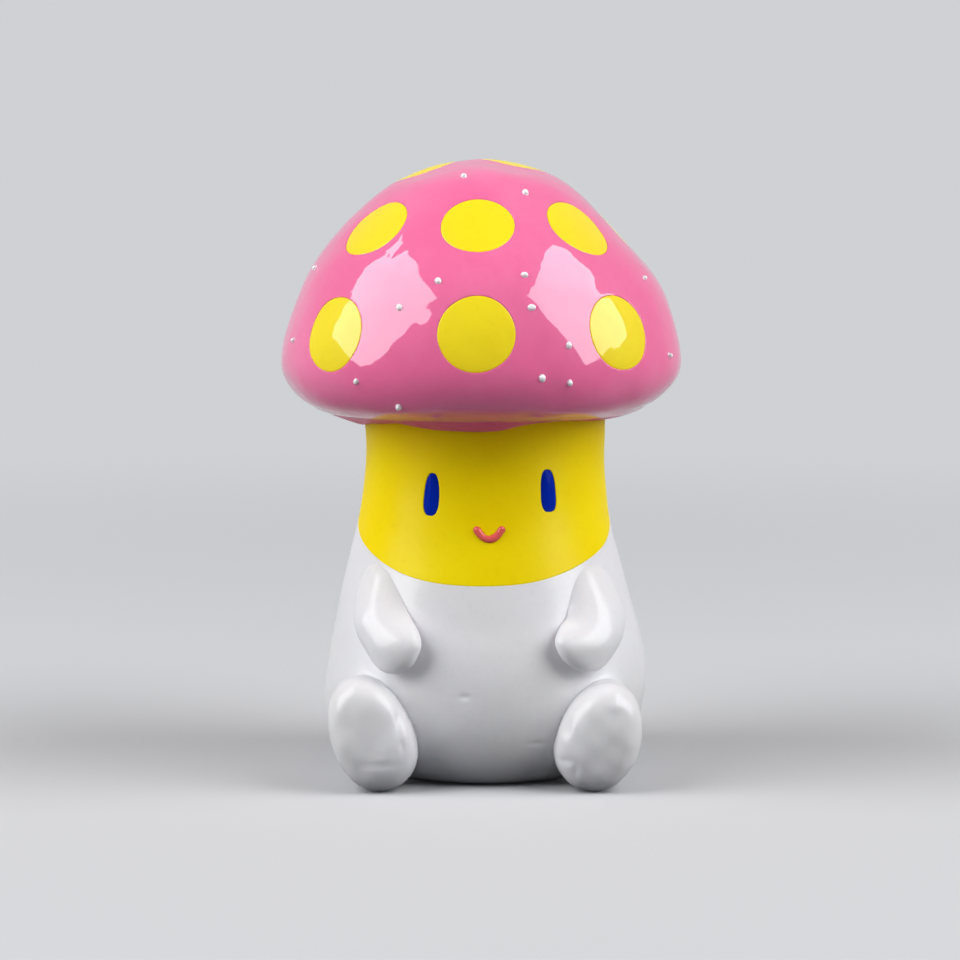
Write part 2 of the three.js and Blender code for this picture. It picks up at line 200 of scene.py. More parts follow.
def outline_towards(controls: Sequence) -> Array:
    """An outline of radius and height that is drawn towards its controls."""
    return resample(curve(controls, CURVE_POINTS), OUTLINE_POINTS)


def straight(*corners: Sequence[float], step: float = 1.5) -> Array:
    """A line through corners, with points about a step apart.

    Args:
        *corners: The corners.
        step: Distance between two points.

    Returns:
        The points, one row each.
    """
    rows = [np.array(corners[:1], float)]
    for start, end in zip(corners[:-1], corners[1:]):
        count = max(int(math.dist(start, end) / step), 1)
        rows.append(lerp(np.array(start, float), np.array(end, float), steps(count)))
    return np.concatenate(rows)


def joined_rise(points: Array, normal: Array, width: Array,
                other: Callable[[Array], Array]) -> Array:
    """How far a surface is raised where clay is smoothed from it into another surface.

    The rise that both surfaces agree on is width / 4 (1 - |gap - rise| / width)^2, where gap is
    the distance to the other surface at the raised point, so it is found by putting each rise
    back into that. Past the seam, where the other surface lies in front, it sinks a little.

    Args:
        points: The surface before it is raised.
        normal: The direction out of it.
        width: Width of the smoothed band.
        other: Gives the distance of points to the other surface, below zero inside it.

    Returns:
        The rise at each point.
    """
    rise = np.zeros(points.shape[:-1])
    for _ in range(JOIN_ROUNDS):
        behind = other(points + normal * rise[..., None]) - rise
        near = np.clip(1 - np.abs(behind) / width, 0, 1)
        rise = lerp(rise, width / 4 * near ** 2, JOIN_PACE)
    return rise - SEAM_SINK * smooth_step(-behind / SEAM_SINK)


class Relief(Protocol):
    """Something that raises or lowers a form's surface."""

    def at(self, points: Array) -> Array:
        """The height that it adds at each point, in millimetres."""


@dataclass(frozen=True)
class Handwork:
    """Low lumps that fingers leave: the sum of plane sine waves in directions drawn at random.

    Attributes:
        height: Typical height of a lump.
        spacing: Typical distance between lumps.
        seed: Draws the directions, spacings and phases.
        waves: How many waves are summed.
        spread: Least and greatest share of the spacing that a wave may have.
    """

    height: float
    spacing: float
    seed: int
    waves: int = 10
    spread: Pair = (0.75, 1.5)

    def at(self, points: Array) -> Array:
        """Height at each point: height / sqrt(waves) times the sum of sin(k . p + phase).

        Args:
            points: Points in space.

        Returns:
            The heights.
        """
        rng = np.random.default_rng(self.seed)
        directions = rng.normal(size=(self.waves, 3))
        directions /= np.linalg.norm(directions, axis=1, keepdims=True)
        spacings = self.spacing * rng.uniform(*self.spread, self.waves)
        phases = rng.uniform(0, 2 * np.pi, self.waves)
        pace = directions * (2 * np.pi / spacings)[:, None]
        total = np.sin(points @ pace.T + phases).sum(-1)
        return self.height * total / math.sqrt(self.waves)


def lumps_at(points: Array, sizes: Sequence[Pair], seed: int) -> Array:
    """The summed height of several kinds of lumps, whose seeds are ten apart.

    Args:
        points: Points in space.
        sizes: Height and spacing of each kind.
        seed: Seed of the first kind.

    Returns:
        The height at each point.
    """
    kinds = [Handwork(*size, seed + 10 * number) for number, size in enumerate(sizes)]
    return sum(kind.at(points) for kind in kinds)


@dataclass(frozen=True)
class Dent:
    """A small hollow or ridge: a bell curve of the distance to its middle.

    Attributes:
        middle: Its middle.
        reach: Its half width across, in depth and up.
        height: How far it stands out, below zero for a hollow.
    """

    middle: tuple[float, float, float]
    reach: tuple[float, float, float]
    height: float

    def at(self, points: Array) -> Array:
        """Height at each point: height times exp(-(d / reach)^2), summed over the axes."""
        away = (points - np.array(self.middle)) / np.array(self.reach)
        return self.height * np.exp(-(away ** 2).sum(-1))


@dataclass(frozen=True)
class Tangent:
    """The plane that touches a form at a place.

    Attributes:
        point: Where it touches.
        across: Direction in it, level and to the right as seen from outside.
        along: Direction in it, upwards.
        out: Direction straight out of the form.
    """

    point: Array
    across: Array
    along: Array
    out: Array


class Form:
    """A turned surface that pieces are laid on, with the reliefs that it carries.

    Attributes:
        outline: Radius and height of points down one side, one row each.
        reliefs: The reliefs.
        normals: The outline's direction outwards at each of its points.
        keys: The value that picks each of its points.
    """

    def __init__(self, outline: Array, reliefs: Sequence[Relief]) -> None:
        """Keeps an outline and works out its normals and keys.

        Args:
            outline: Radius and height of its points, with the outside on the right.
            reliefs: What raises and lowers the surface.
        """
        self.outline = outline
        self.reliefs = list(reliefs)
        along = np.gradient(outline, axis=0)
        along /= np.linalg.norm(along, axis=1, keepdims=True)
        self.normals = np.stack([along[:, 1], -along[:, 0]], 1)
        self.keys = self.key(outline[:, 0], outline[:, 1])

    def key(self, radius: Array, height: Array) -> Array:
        """The value that picks a point's foot on the outline: here its height."""
        return height

    def section(self, points: Array) -> tuple[Array, Array, Array]:
        """The half plane through each point.

        Args:
            points: Points in space.

        Returns:
            Their radius and height, their foot on the outline, and the outline's normal there.
        """
        flat = np.stack([radius_of(points), points[..., 2]], -1)
        key = self.key(flat[..., 0], flat[..., 1])
        foot = np.stack([np.interp(key, self.keys, self.outline[:, k]) for k in (0, 1)], -1)
        normal = np.stack([np.interp(key, self.keys, self.normals[:, k]) for k in (0, 1)], -1)
        return flat, foot, normal / np.linalg.norm(normal, axis=-1, keepdims=True)

    def clearance(self, points: Array) -> Array:
        """Distance of each point from the bare surface: along the normal at its foot."""
        flat, foot, normal = self.section(points)
        return ((flat - foot) * normal).sum(-1)

    def normal(self, points: Array) -> Array:
        """The direction straight out of the surface near each point.

        Args:
            points: Points in space.

        Returns:
            The directions.
        """
        flat, _, normal = self.section(points)
        radius = np.maximum(flat[..., 0], SMALL)
        ahead = points[..., :2] / radius[..., None]
        return np.concatenate([ahead * normal[..., :1], normal[..., 1:]], -1)

    def relief(self, points: Array) -> Array:
        """The height that all the reliefs add at each point."""
        return sum(relief.at(points) for relief in self.reliefs)

    def worked_clearance(self, points: Array) -> Array:
        """Distance of each point from the surface with its relief."""
        return self.clearance(points) - self.relief(points)

    def worked(self, points: Array, share: Array | float = 1.0) -> Array:
        """Points moved along the normal by a share of the relief."""
        return points + self.normal(points) * (self.relief(points) * share)[..., None]

    def tangent_near(self, point: Sequence[float]) -> Tangent:
        """The tangent plane at the place on the bare surface that is nearest by its key.

        Args:
            point: A point near the surface.

        Returns:
            The plane.
        """
        given = np.array(point, float)
        _, foot, normal = self.section(given)
        angle = math.atan2(given[0], -given[1])
        ahead = np.array([math.sin(angle), -math.cos(angle), 0.0])
        up = np.array([0.0, 0.0, 1.0])
        return Tangent(
            point=ahead * foot[0] + up * foot[1],
            across=np.array([math.cos(angle), math.sin(angle), 0.0]),
            along=up * normal[0] - ahead * normal[1],
            out=ahead * normal[0] + up * normal[1],
        )

    def lay(self, tangent: Tangent, x: Array, y: Array, level: Array) -> Array:
        """Drapes a flat pattern over the surface.

        Each point starts above the tangent plane and walks inwards by what its clearance
        exceeds the wanted level, until it lies at that level. Then the relief moves it.

        Args:
            tangent: The plane that the pattern is drawn on.
            x: Distances across.
            y: Distances along.
            level: Wanted heights over the surface.

        Returns:
            The points in space.
        """
        start = tangent.point + x[..., None] * tangent.across + y[..., None] * tangent.along
        reach = np.full(x.shape, DRAPE_START)
        for _ in range(DRAPE_ROUNDS):
            here = start + reach[..., None] * tangent.out
            reach = reach - (self.clearance(here) - level)
        return self.worked(start + reach[..., None] * tangent.out)


class Dome(Form):
    """The cap's outside, whose points are told apart by their angle about a pivot on the axis."""

    PIVOT = 80.0

    def key(self, radius: Array, height: Array) -> Array:
        """Angle of a point over the level of the pivot."""
        return np.arctan2(height - self.PIVOT, radius)


class Stem(Form):
    """The stem's outside, whose points are told apart by their height."""

    def radius_at(self, height: Array) -> Array:
        """Radius of the bare stem at a height."""
        return np.interp(height, self.outline[:, 1], self.outline[:, 0])

    def wrap(self, angle: Array, height: Array, level: Array | float = 0.0,
             share: Array | float = 1.0) -> Array:
        """Points given by angle and height, raised by a level and by a share of the relief.

        Args:
            angle: Angles round the axis, in radians.
            height: Heights of the points' feet.
            level: Distance over the surface.
            share: Share of the relief that is added.

        Returns:
            The points in space.
        """
        base = around(self.radius_at(height), height, angle)
        raised = level + self.relief(base) * share
        return base + self.normal(base) * raised[..., None]


def skin(name: str, rows: Array, ends: Ends, shift: float = 0.0) -> bpy.types.Object:
    """A closed mesh over a grid of points whose rows are rings.

    The rings run anticlockwise as seen from outside the part's middle, and the rows so that
    ring direction times row direction points out of the solid.

    Args:
        name: The object's name.
        rows: Points as rows, columns and coordinates, in millimetres.
        ends: Whether the first and last rows shrink to poles or join each other.
        shift: Distance that the piece is moved along X.

    Returns:
        The object, in metres.
    """
    count, sides = rows.shape[:2]
    column = np.arange(sides)
    after = (column + 1) % sides
    if ends is Ends.LOOP:
        first = np.arange(count)
        second = (first + 1) % count
        points = rows.reshape(-1, 3)
        offset = 0
        fans: list[Array] = []
    else:
        first = np.arange(count - 3)
        second = first + 1
        poles = np.stack([rows[0].mean(0), rows[-1].mean(0)])
        points = np.concatenate([poles, rows[1:-1].reshape(-1, 3)])
        offset = len(poles)
        last = offset + (count - 3) * sides
        fans = [
            np.stack([np.zeros_like(column), offset + after, offset + column], 1),
            np.stack([np.ones_like(column), last + column, last + after], 1),
        ]
    low = offset + first[:, None] * sides
    high = offset + second[:, None] * sides
    corners = (low + column, low + after, high + after, high + column)
    quads = np.stack(np.broadcast_arrays(*corners), -1)
    faces = quads.reshape(-1, 4).tolist() + [face for fan in fans for face in fan.tolist()]
    placed = (points + np.array([shift, 0.0, 0.0])) * MM
    mesh = bpy.data.meshes.new(name)
    mesh.from_pydata(placed.tolist(), [], faces)
    mesh.validate()
    smooth(mesh)
    thing = bpy.data.objects.new(name, mesh)
    bpy.context.scene.collection.objects.link(thing)
    return thing


def smooth(mesh: bpy.types.Mesh, sharp: float = 42.0) -> None:
    """Shades a mesh smoothly, but for edges that fold by more than an angle in degrees."""
    mesh.shade_smooth()
    mesh.set_sharp_from_angle(angle=math.radians(sharp))


def carve(body: bpy.types.Object, cutters: Sequence[bpy.types.Object]) -> None:
    """Subtracts closed cutters from a body, which keeps the result, and removes them.

    Args:
        body: What is cut.
        cutters: What is cut away.
    """
    for cutter in cutters:
        cut = body.modifiers.new(cutter.name, "BOOLEAN")
        cut.operation = "DIFFERENCE"
        cut.solver = "MANIFOLD"
        cut.object = cutter
    shown = body.evaluated_get(bpy.context.evaluated_depsgraph_get())
    carved = bpy.data.meshes.new_from_object(shown)
    body.modifiers.clear()
    body.data = carved
    smooth(carved)
    for cutter in cutters:
        bpy.data.meshes.remove(cutter.data)


def srgb(red: int, green: int, blue: int) -> Colour:
    """A colour as light, from the numbers that a screen shows: ((c + 0.055) / 1.055)^2.4.

    Args:
        red: Red on the screen, from 0 to 255.
        green: Green, in the same way.
        blue: Blue, in the same way.

    Returns:
        The three lights, from 0 to 1.
    """
    shares = np.array([red, green, blue]) / 255.0
    light = np.where(shares <= 0.04045, shares / 12.92, ((shares + 0.055) / 1.055) ** 2.4)
    return tuple(float(part) for part in light)


@dataclass(frozen=True)
class Speckle:
    """A kind of noise in a material.

    Attributes:
        spacing: Distance between its blobs.
        detail: How many finer layers it has.
        roughness: How strong the finer layers are.
        distortion: How far its blobs are pulled about.
    """

    spacing: float
    detail: float = 2.0
    roughness: float = 0.5
    distortion: float = 0.0


class Nodes:
    """A material's node tree, with short ways to add nodes and join them.

    Attributes:
        material: The material.
        tree: Its node tree.
        shader: Its Principled shader.
        where: The coordinates that its patterns read.
    """

    def __init__(self, name: str) -> None:
        """Starts a material with a Principled shader and Object coordinates.

        Args:
            name: The material's name.
        """
        self.material = bpy.data.materials.new(name)
        self.material.use_nodes = True
        self.tree = self.material.node_tree
        self.shader = self.tree.nodes["Principled BSDF"]
        self.where = self.add("ShaderNodeTexCoord").outputs["Object"]

    def add(self, kind: str, **settings: object) -> bpy.types.Node:
        """Adds a node.

        Args:
            kind: The node's type.
            **settings: Settings of the node itself, by name.

        Returns:
            The node.
        """
        node = self.tree.nodes.new(kind)
        for key, value in settings.items():
            setattr(node, key, value)
        return node

    def join(self, output: bpy.types.NodeSocket, node: bpy.types.Node, socket: str | int) -> None:
        """Joins an output to a node's input."""
        self.tree.links.new(output, node.inputs[socket])

    def noise(self, speckle: Speckle) -> bpy.types.NodeSocket:
        """Adds noise.

        Args:
            speckle: Its kind.

        Returns:
            A value from 0 to 1.
        """
        node = self.add("ShaderNodeTexNoise")
        node.inputs["Scale"].default_value = 1.0 / (speckle.spacing * MM)
        node.inputs["Detail"].default_value = speckle.detail
        node.inputs["Roughness"].default_value = speckle.roughness
        node.inputs["Distortion"].default_value = speckle.distortion
        self.join(self.where, node, "Vector")
        return node.outputs["Fac"]

    def remap(self, value: bpy.types.NodeSocket, given: Pair, wanted: Pair,
              kind: str = "LINEAR") -> bpy.types.NodeSocket:
        """Stretches one range of values to another, and holds it there.

        Args:
            value: The value.
            given: Start and end of its range.
            wanted: What start and end become.
            kind: How values between them are eased.

        Returns:
            The new value.
        """
        node = self.add("ShaderNodeMapRange", interpolation_type=kind)
        for socket, number in zip(("From Min", "From Max", "To Min", "To Max"), given + wanted):
            node.inputs[socket].default_value = number
        self.join(value, node, "Value")
        return node.outputs["Result"]

    def blend(self, share: bpy.types.NodeSocket, start: Colour | bpy.types.NodeSocket,
              end: Colour) -> bpy.types.NodeSocket:
        """Blends two colours.

        Args:
            share: Share of the second one.
            start: The first colour, or an output that gives it.
            end: The second colour.

        Returns:
            The blended colour.
        """
        node = self.add("ShaderNodeMix", data_type="RGBA")
        self.join(share, node, MIX_SHARE)
        if isinstance(start, tuple):
            node.inputs[MIX_START].default_value = (*start, 1.0)
        else:
            self.join(start, node, MIX_START)
        node.inputs[MIX_END].default_value = (*end, 1.0)
        return node.outputs[MIX_COLOUR]

    def bump(self, value: bpy.types.NodeSocket, height: float,
             under: bpy.types.NodeSocket | None = None) -> bpy.types.NodeSocket:
        """Turns a value into a bump.

        Args:
            value: The value, from 0 to 1.
            height: The bump's height, in millimetres.
            under: A bump that this one lies over.

        Returns:
            The bumped normal.
        """
        node = self.add("ShaderNodeBump")
        node.inputs["Strength"].default_value = 1.0
        node.inputs["Distance"].default_value = height * MM
        self.join(value, node, "Height")
        if under is not None:
            self.join(under, node, "Normal")
        return node.outputs["Normal"]

    def put(self, **numbers: object) -> None:
        """Sets the shader's own inputs, with underscores for the spaces in their names."""
        for key, number in numbers.items():
            self.shader.inputs[key.replace("_", " ")].default_value = number


@dataclass(frozen=True)
class ClayFinish:
    """Baked polymer clay under a brushed coat of varnish.

    Attributes:
        name: The material's name.
        slot: The record's material slot.
        colour: Colour of the clay.
        streak: Colour of the parts where the clay was kneaded less well.
        roughness: Lowest and highest roughness of the clay.
        gloss: Roughness of the varnish.
        varnish: Weight of the varnish.
        pooling: Height of the varnish's slow waves.
        grain: Height of the fine marks in the clay.
        glow: Share of light that spreads under the surface.
        shine: Specular level of the clay under the varnish.
    """

    name: str
    slot: str
    colour: Colour
    streak: Colour
    roughness: Pair = (0.38, 0.52)
    gloss: float = 0.02
    varnish: float = 1.0
    pooling: float = 0.06
    grain: float = 0.006
    glow: float = 0.08
    shine: float = 0.08

    clouds = Speckle(22.0, 3.0, 0.55)
    clouded = (0.42, 0.72), (0.0, 0.75)
    flecks = Speckle(1.6, 4.0, 0.6)
    flecked = (0.52, 0.8), (0.0, 0.3)
    fleck_tone = 0.86
    handling = Speckle(5.0, 3.0)
    handled = (0.3, 0.7)
    fingerprints = Speckle(0.7, 4.0, 0.65)
    dimples = Speckle(3.2)
    dimple_share = 4.0
    waves = Speckle(9.0, 1.0, 0.4, 0.6)
    ripples = Speckle(2.6, 1.0)
    ripple_share = 0.5
    spread_depth = 1.5
    spread_of_colours = (1.0, 0.7, 0.6)
    clay_ior = 1.45
    varnish_ior = 1.43

    def make(self) -> bpy.types.Material:
        """Builds the material.

        Returns:
            The material: two noises mottle the colour, one varies the roughness, fine noise
            makes the clay's bump and slow noise the waves in the varnish.
        """
        nodes = Nodes(self.name)
        cloudy = nodes.remap(nodes.noise(self.clouds), *self.clouded)
        mottled = nodes.blend(cloudy, self.colour, self.streak)
        darker = tuple(part * self.fleck_tone for part in self.colour)
        fine = nodes.remap(nodes.noise(self.flecks), *self.flecked)
        nodes.join(nodes.blend(fine, mottled, darker), nodes.shader, "Base Color")
        rough = nodes.remap(nodes.noise(self.handling), self.handled, self.roughness)
        nodes.join(rough, nodes.shader, "Roughness")
        prints = nodes.bump(nodes.noise(self.fingerprints), self.grain)
        dimpled = nodes.bump(nodes.noise(self.dimples), self.grain * self.dimple_share, prints)
        nodes.join(dimpled, nodes.shader, "Normal")
        slow = nodes.bump(nodes.noise(self.waves), self.pooling)
        rippled = nodes.bump(nodes.noise(self.ripples), self.pooling * self.ripple_share, slow)
        nodes.join(rippled, nodes.shader, "Coat Normal")
        nodes.put(
            Coat_Weight=self.varnish,
            Coat_Roughness=self.gloss,
            Coat_IOR=self.varnish_ior,
            Specular_IOR_Level=self.shine,
            Subsurface_Weight=self.glow,
            Subsurface_Scale=self.spread_depth * MM,
            Subsurface_Radius=self.spread_of_colours,
            IOR=self.clay_ior,
        )
        return nodes.material


@dataclass(frozen=True)
class FoilFinish:
    """Crumpled household foil: bright metal folded into many small flat planes.

    Attributes:
        name: The material's name.
        colour: Colour of the metal.
    """

    name: str
    colour: Colour

    fold_spacing = 5.0
    fold_height = 0.9
    creases = Speckle(1.8, 5.0, 0.7)
    crease_height = 0.25
    wear = Speckle(4.0, 3.0)
    worn = (0.35, 0.7), (0.22, 0.42)
    tone = Speckle(7.0, 3.0)
    grey_tone = 0.8

    def make(self) -> bpy.types.Material:
        """Builds the material.

        Returns:
            The material: cells and finer noise make the folds, and noise dulls the metal.
        """
        nodes = Nodes(self.name)
        cells = nodes.add("ShaderNodeTexVoronoi", feature="F1")
        cells.inputs["Scale"].default_value = 1.0 / (self.fold_spacing * MM)
        nodes.join(nodes.where, cells, "Vector")
        folds = nodes.bump(cells.outputs["Distance"], self.fold_height)
        creased = nodes.bump(nodes.noise(self.creases), self.crease_height, folds)
        nodes.join(creased, nodes.shader, "Normal")
        dull = nodes.remap(nodes.noise(self.wear), *self.worn)
        nodes.join(dull, nodes.shader, "Roughness")
        grey = tuple(part * self.grey_tone for part in self.colour)
        tone = nodes.blend(nodes.noise(self.tone), self.colour, grey)
        nodes.join(tone, nodes.shader, "Base Color")
        nodes.put(Metallic=1.0)
        return nodes.material


@dataclass(frozen=True)
class WoodFinish:
    """Bare turned dowel: long grain with darker year lines along the axis.

    Attributes:
        name: The material's name.
        colour: Colour of the early wood.
        late: Colour of the year lines.
    """

    name: str
    colour: Colour
    late: Colour

    stretch = (1.0, 1.0, 0.06)
    grain = Speckle(1.1, 5.0, 0.65)
    grain_height = 0.05
    lined = (0.4, 0.65), (0.0, 1.0)
    worn = (0.3, 0.7), (0.75, 0.6)

    def make(self) -> bpy.types.Material:
        """Builds the material.

        Returns:
            The material: noise stretched along Z makes the grain, its bump and its wear.
        """
        nodes = Nodes(self.name)
        stretched = nodes.add("ShaderNodeMapping")
        stretched.inputs["Scale"].default_value = self.stretch
        nodes.join(nodes.where, stretched, "Vector")
        nodes.where = stretched.outputs["Vector"]
        grain = nodes.noise(self.grain)
        lines = nodes.blend(nodes.remap(grain, *self.lined), self.colour, self.late)
        nodes.join(lines, nodes.shader, "Base Color")
        nodes.join(nodes.bump(grain, self.grain_height), nodes.shader, "Normal")
        nodes.join(nodes.remap(grain, *self.worn), nodes.shader, "Roughness")
        return nodes.material


Finish = ClayFinish | FoilFinish | WoodFinish


@dataclass
class Palette:
    """The figurine's finishes, and the materials made from them so far.

    Attributes:
        cap: Glossy pink of the dome.
        underside: Pink under the cap, with little varnish, painted darker and more violet than the
            cap's pink as shade under the rim.
        dots: Glossy yellow.
        head: Satin yellow.
        white: Satin white of the torso, arms and feet.
        beads: Bright white of the beads.
        eyes: Deep blue.
        mouth: Salmon pink.
        foil: The cores.
        wood: The dowel.
        made: The materials, by name.
    """

    cap: ClayFinish = ClayFinish(
        "pink_varnished_clay", "pink_clay", srgb(243, 104, 158), srgb(247, 124, 172))
    # Painted shade: the underside's pink is darker and more violet than the cap's, for the shade
    # under the rim.
    underside: ClayFinish = ClayFinish(
        "pink_bare_clay_painted_shade", "pink_clay", srgb(226, 84, 154), srgb(232, 96, 162),
        gloss=0.2, varnish=0.2)
    dots: ClayFinish = ClayFinish(
        "yellow_varnished_clay", "yellow_clay", srgb(252, 224, 0), srgb(253, 231, 14),
        varnish=0.6)
    head: ClayFinish = ClayFinish(
        "yellow_satin_clay", "yellow_clay", srgb(252, 222, 0), srgb(253, 230, 12),
        gloss=0.3, varnish=0.1, shine=0.02)
    white: ClayFinish = ClayFinish(
        "white_satin_clay", "white_clay", srgb(230, 230, 234), srgb(228, 227, 227),
        roughness=(0.42, 0.58), gloss=0.18, varnish=0.36, pooling=0.03, grain=0.014, glow=0.12)
    beads: ClayFinish = ClayFinish(
        "white_bead_clay", "white_clay", srgb(248, 246, 247), srgb(246, 244, 244),
        gloss=0.05, glow=0.25)
    eyes: ClayFinish = ClayFinish(
        "blue_satin_clay", "blue_clay", srgb(4, 38, 166), srgb(6, 46, 178),
        gloss=0.15, varnish=0.05, pooling=0.008, glow=0.0, shine=0.0)
    mouth: ClayFinish = ClayFinish(
        "salmon_satin_clay", "salmon_clay", srgb(230, 88, 86), srgb(234, 100, 97),
        varnish=0.5, gloss=0.1, pooling=0.005)
    foil: FoilFinish = FoilFinish("crumpled_foil", srgb(214, 216, 220))
    wood: WoodFinish = WoodFinish("turned_dowel", srgb(206, 168, 118), srgb(168, 124, 76))
    made: dict[str, bpy.types.Material] = field(default_factory=dict)

    def material(self, finish: Finish) -> bpy.types.Material:
        """The material of a finish, made at its first use.

        Args:
            finish: The finish.

        Returns:
            Its material.
        """
        if finish.name not in self.made:
            self.made[finish.name] = finish.make()
        return self.made[finish.name]

    def dress(self, piece: bpy.types.Object, finish: ClayFinish, *nodes: str) -> None:
        """Gives a piece its material and body, and says which CAD nodes it stands for.

        Args:
            piece: The piece.
            finish: Its finish.
            *nodes: The CAD nodes that it replaces.
        """
        piece.data.materials.clear()
        piece.data.materials.append(self.material(finish))
        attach(piece, BODY)
        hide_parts(*nodes)
        log.info("%s: %d faces, in place of %s", piece.name, len(piece.data.polygons),
                 ", ".join(nodes))

    def dress_node(self, node: str, finish: Finish) -> None:
        """Gives a node of the frame that is shown as it is a better material.

        Args:
            node: The node's name.
            finish: Its finish.
        """
        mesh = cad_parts[node].data
        mesh.materials.clear()
        mesh.materials.append(self.material(finish))
        log.info("%s: shown as it is, in %s", node, finish.name)


@dataclass(frozen=True)
class Inlay:
    """A disc of clay laid into a form, and the pocket with softened edges that it lies in.

    Its plan is a ring whose two half widths and squareness are given, narrower at the top.

    Attributes:
        half_width: Half width across.
        half_length: Half length along.
        depth: Depth of its floor under the surface.
        crown: Height of its middle over its edge.
        flush: Height of its edge over the surface.
        edge: Radius of its upper edge.
        narrowing: Share by which its top end is narrower.
        squareness: 2 for an ellipse, more for a plan with fuller ends.
        lean: Turn of the plan, in degrees.
        seat: Gap to the pocket's walls.
        lip: Radius of the pocket's softened edge.
        lip_turn: How far that edge turns before it meets the surface, in degrees.
        cut_above: How far the cutter reaches above the surface.
        cut_beyond: How much wider than the pocket it is there.
        sides: Points round the plan.
    """

    half_width: float
    half_length: float
    depth: float = 0.9
    crown: float = 0.06
    flush: float = -0.02
    edge: float = 0.16
    narrowing: float = 0.0
    squareness: float = 2.0
    lean: float = 0.0
    seat: float = 0.02
    lip: float = 0.12
    lip_turn: float = 68.0
    cut_above: float = 1.5
    cut_beyond: float = 0.5
    sides: int = 120

    # Rings on a floor, up a wall, round the disc's edge and the pocket's, and over the crown.
    floor_rings, wall_rings, edge_rings, lip_rings, crown_rings = 6, 5, 6, 7, 16

    def rows(self, form: Form, tangent: Tangent, shares: Array, extra: Array,
             level: Array) -> Array:
        """Rings of the plan, shrunk by a share and grown by an extra width, at their levels.

        The plan is x = w |cos a|^(2/s), y = l |sin a|^(2/s) with their signs, where s is the
        squareness, and x is then multiplied by 1 - narrowing * y / l.

        Args:
            form: What the inlay is laid into.
            tangent: Where it is laid.
            shares: Share of the plan for each ring.
            extra: Width added to each ring.
            level: Height of each ring over the surface.

        Returns:
            The rings as rows of points.
        """
        angle = turns(self.sides)
        wide = signed_power(np.cos(angle), 2.0 / self.squareness)
        tall = signed_power(np.sin(angle), 2.0 / self.squareness)
        x = wide * (self.half_width * shares + extra)[:, None]
        y = tall * (self.half_length * shares + extra)[:, None]
        x = x * (1.0 - self.narrowing * y / self.half_length)
        return form.lay(tangent, *turned(x, y, self.lean),
                        np.broadcast_to(level[:, None], x.shape))

    def disc(self, name: str, form: Form, tangent: Tangent, shift: float = 0.0
             ) -> bpy.types.Object:
        """The disc: out along its floor, up its wall, round its edge and in over its crown.

        Args:
            name: The object's name.
            form: What it is laid into.
            tangent: Where it is laid.
            shift: Distance that it is moved along X.

        Returns:
            The closed disc.
        """
        floor = np.linspace(0, 1, self.floor_rings)
        bend = np.linspace(0, np.pi / 2, self.edge_rings)
        wall = np.linspace(-self.depth, self.flush - self.edge, self.wall_rings)[1:-1]
        top = np.linspace(1, 0, self.crown_rings)[1:]
        shares = np.concatenate([floor, np.ones(len(wall) + len(bend)), top])
        extra = np.concatenate([
            np.zeros(len(floor) + len(wall)), -self.edge * (1 - np.cos(bend)), -self.edge * top,
        ])
        level = np.concatenate([
            np.full(len(floor), -self.depth), wall,
            self.flush - self.edge * (1 - np.sin(bend)),
            self.flush + self.crown * (1 - top ** 2),
        ])
        return skin(name, self.rows(form, tangent, shares, extra, level), Ends.POLES, shift)

    def pocket(self, name: str, form: Form, tangent: Tangent, shift: float = 0.0
               ) -> bpy.types.Object:
        """The cutter: a wider disc that reaches above the surface and flares where it meets it.

        Args:
            name: The object's name.
            form: What it is cut into.
            tangent: Where it is cut.
            shift: Distance that it is moved along X.

        Returns:
            The closed cutter.
        """
        floor = np.linspace(0, 1, self.floor_rings)
        bend = np.linspace(0, math.radians(self.lip_turn), self.lip_rings)
        top = np.linspace(1, 0, self.floor_rings)
        shares = np.concatenate([floor, np.ones(len(bend)), top])
        flare = self.seat + self.lip * (1 - np.cos(bend))
        rise = -self.lip + self.lip * np.sin(bend) / math.sin(bend[-1])
        beyond = flare[-1] + self.cut_beyond
        extra = np.concatenate([np.full(len(floor), self.seat), flare, beyond * top])
        level = np.concatenate([
            np.full(len(floor), -self.depth - self.seat), rise,
            np.full(len(top), self.cut_above),
        ])
        return skin(name, self.rows(form, tangent, shares, extra, level), Ends.POLES, shift)


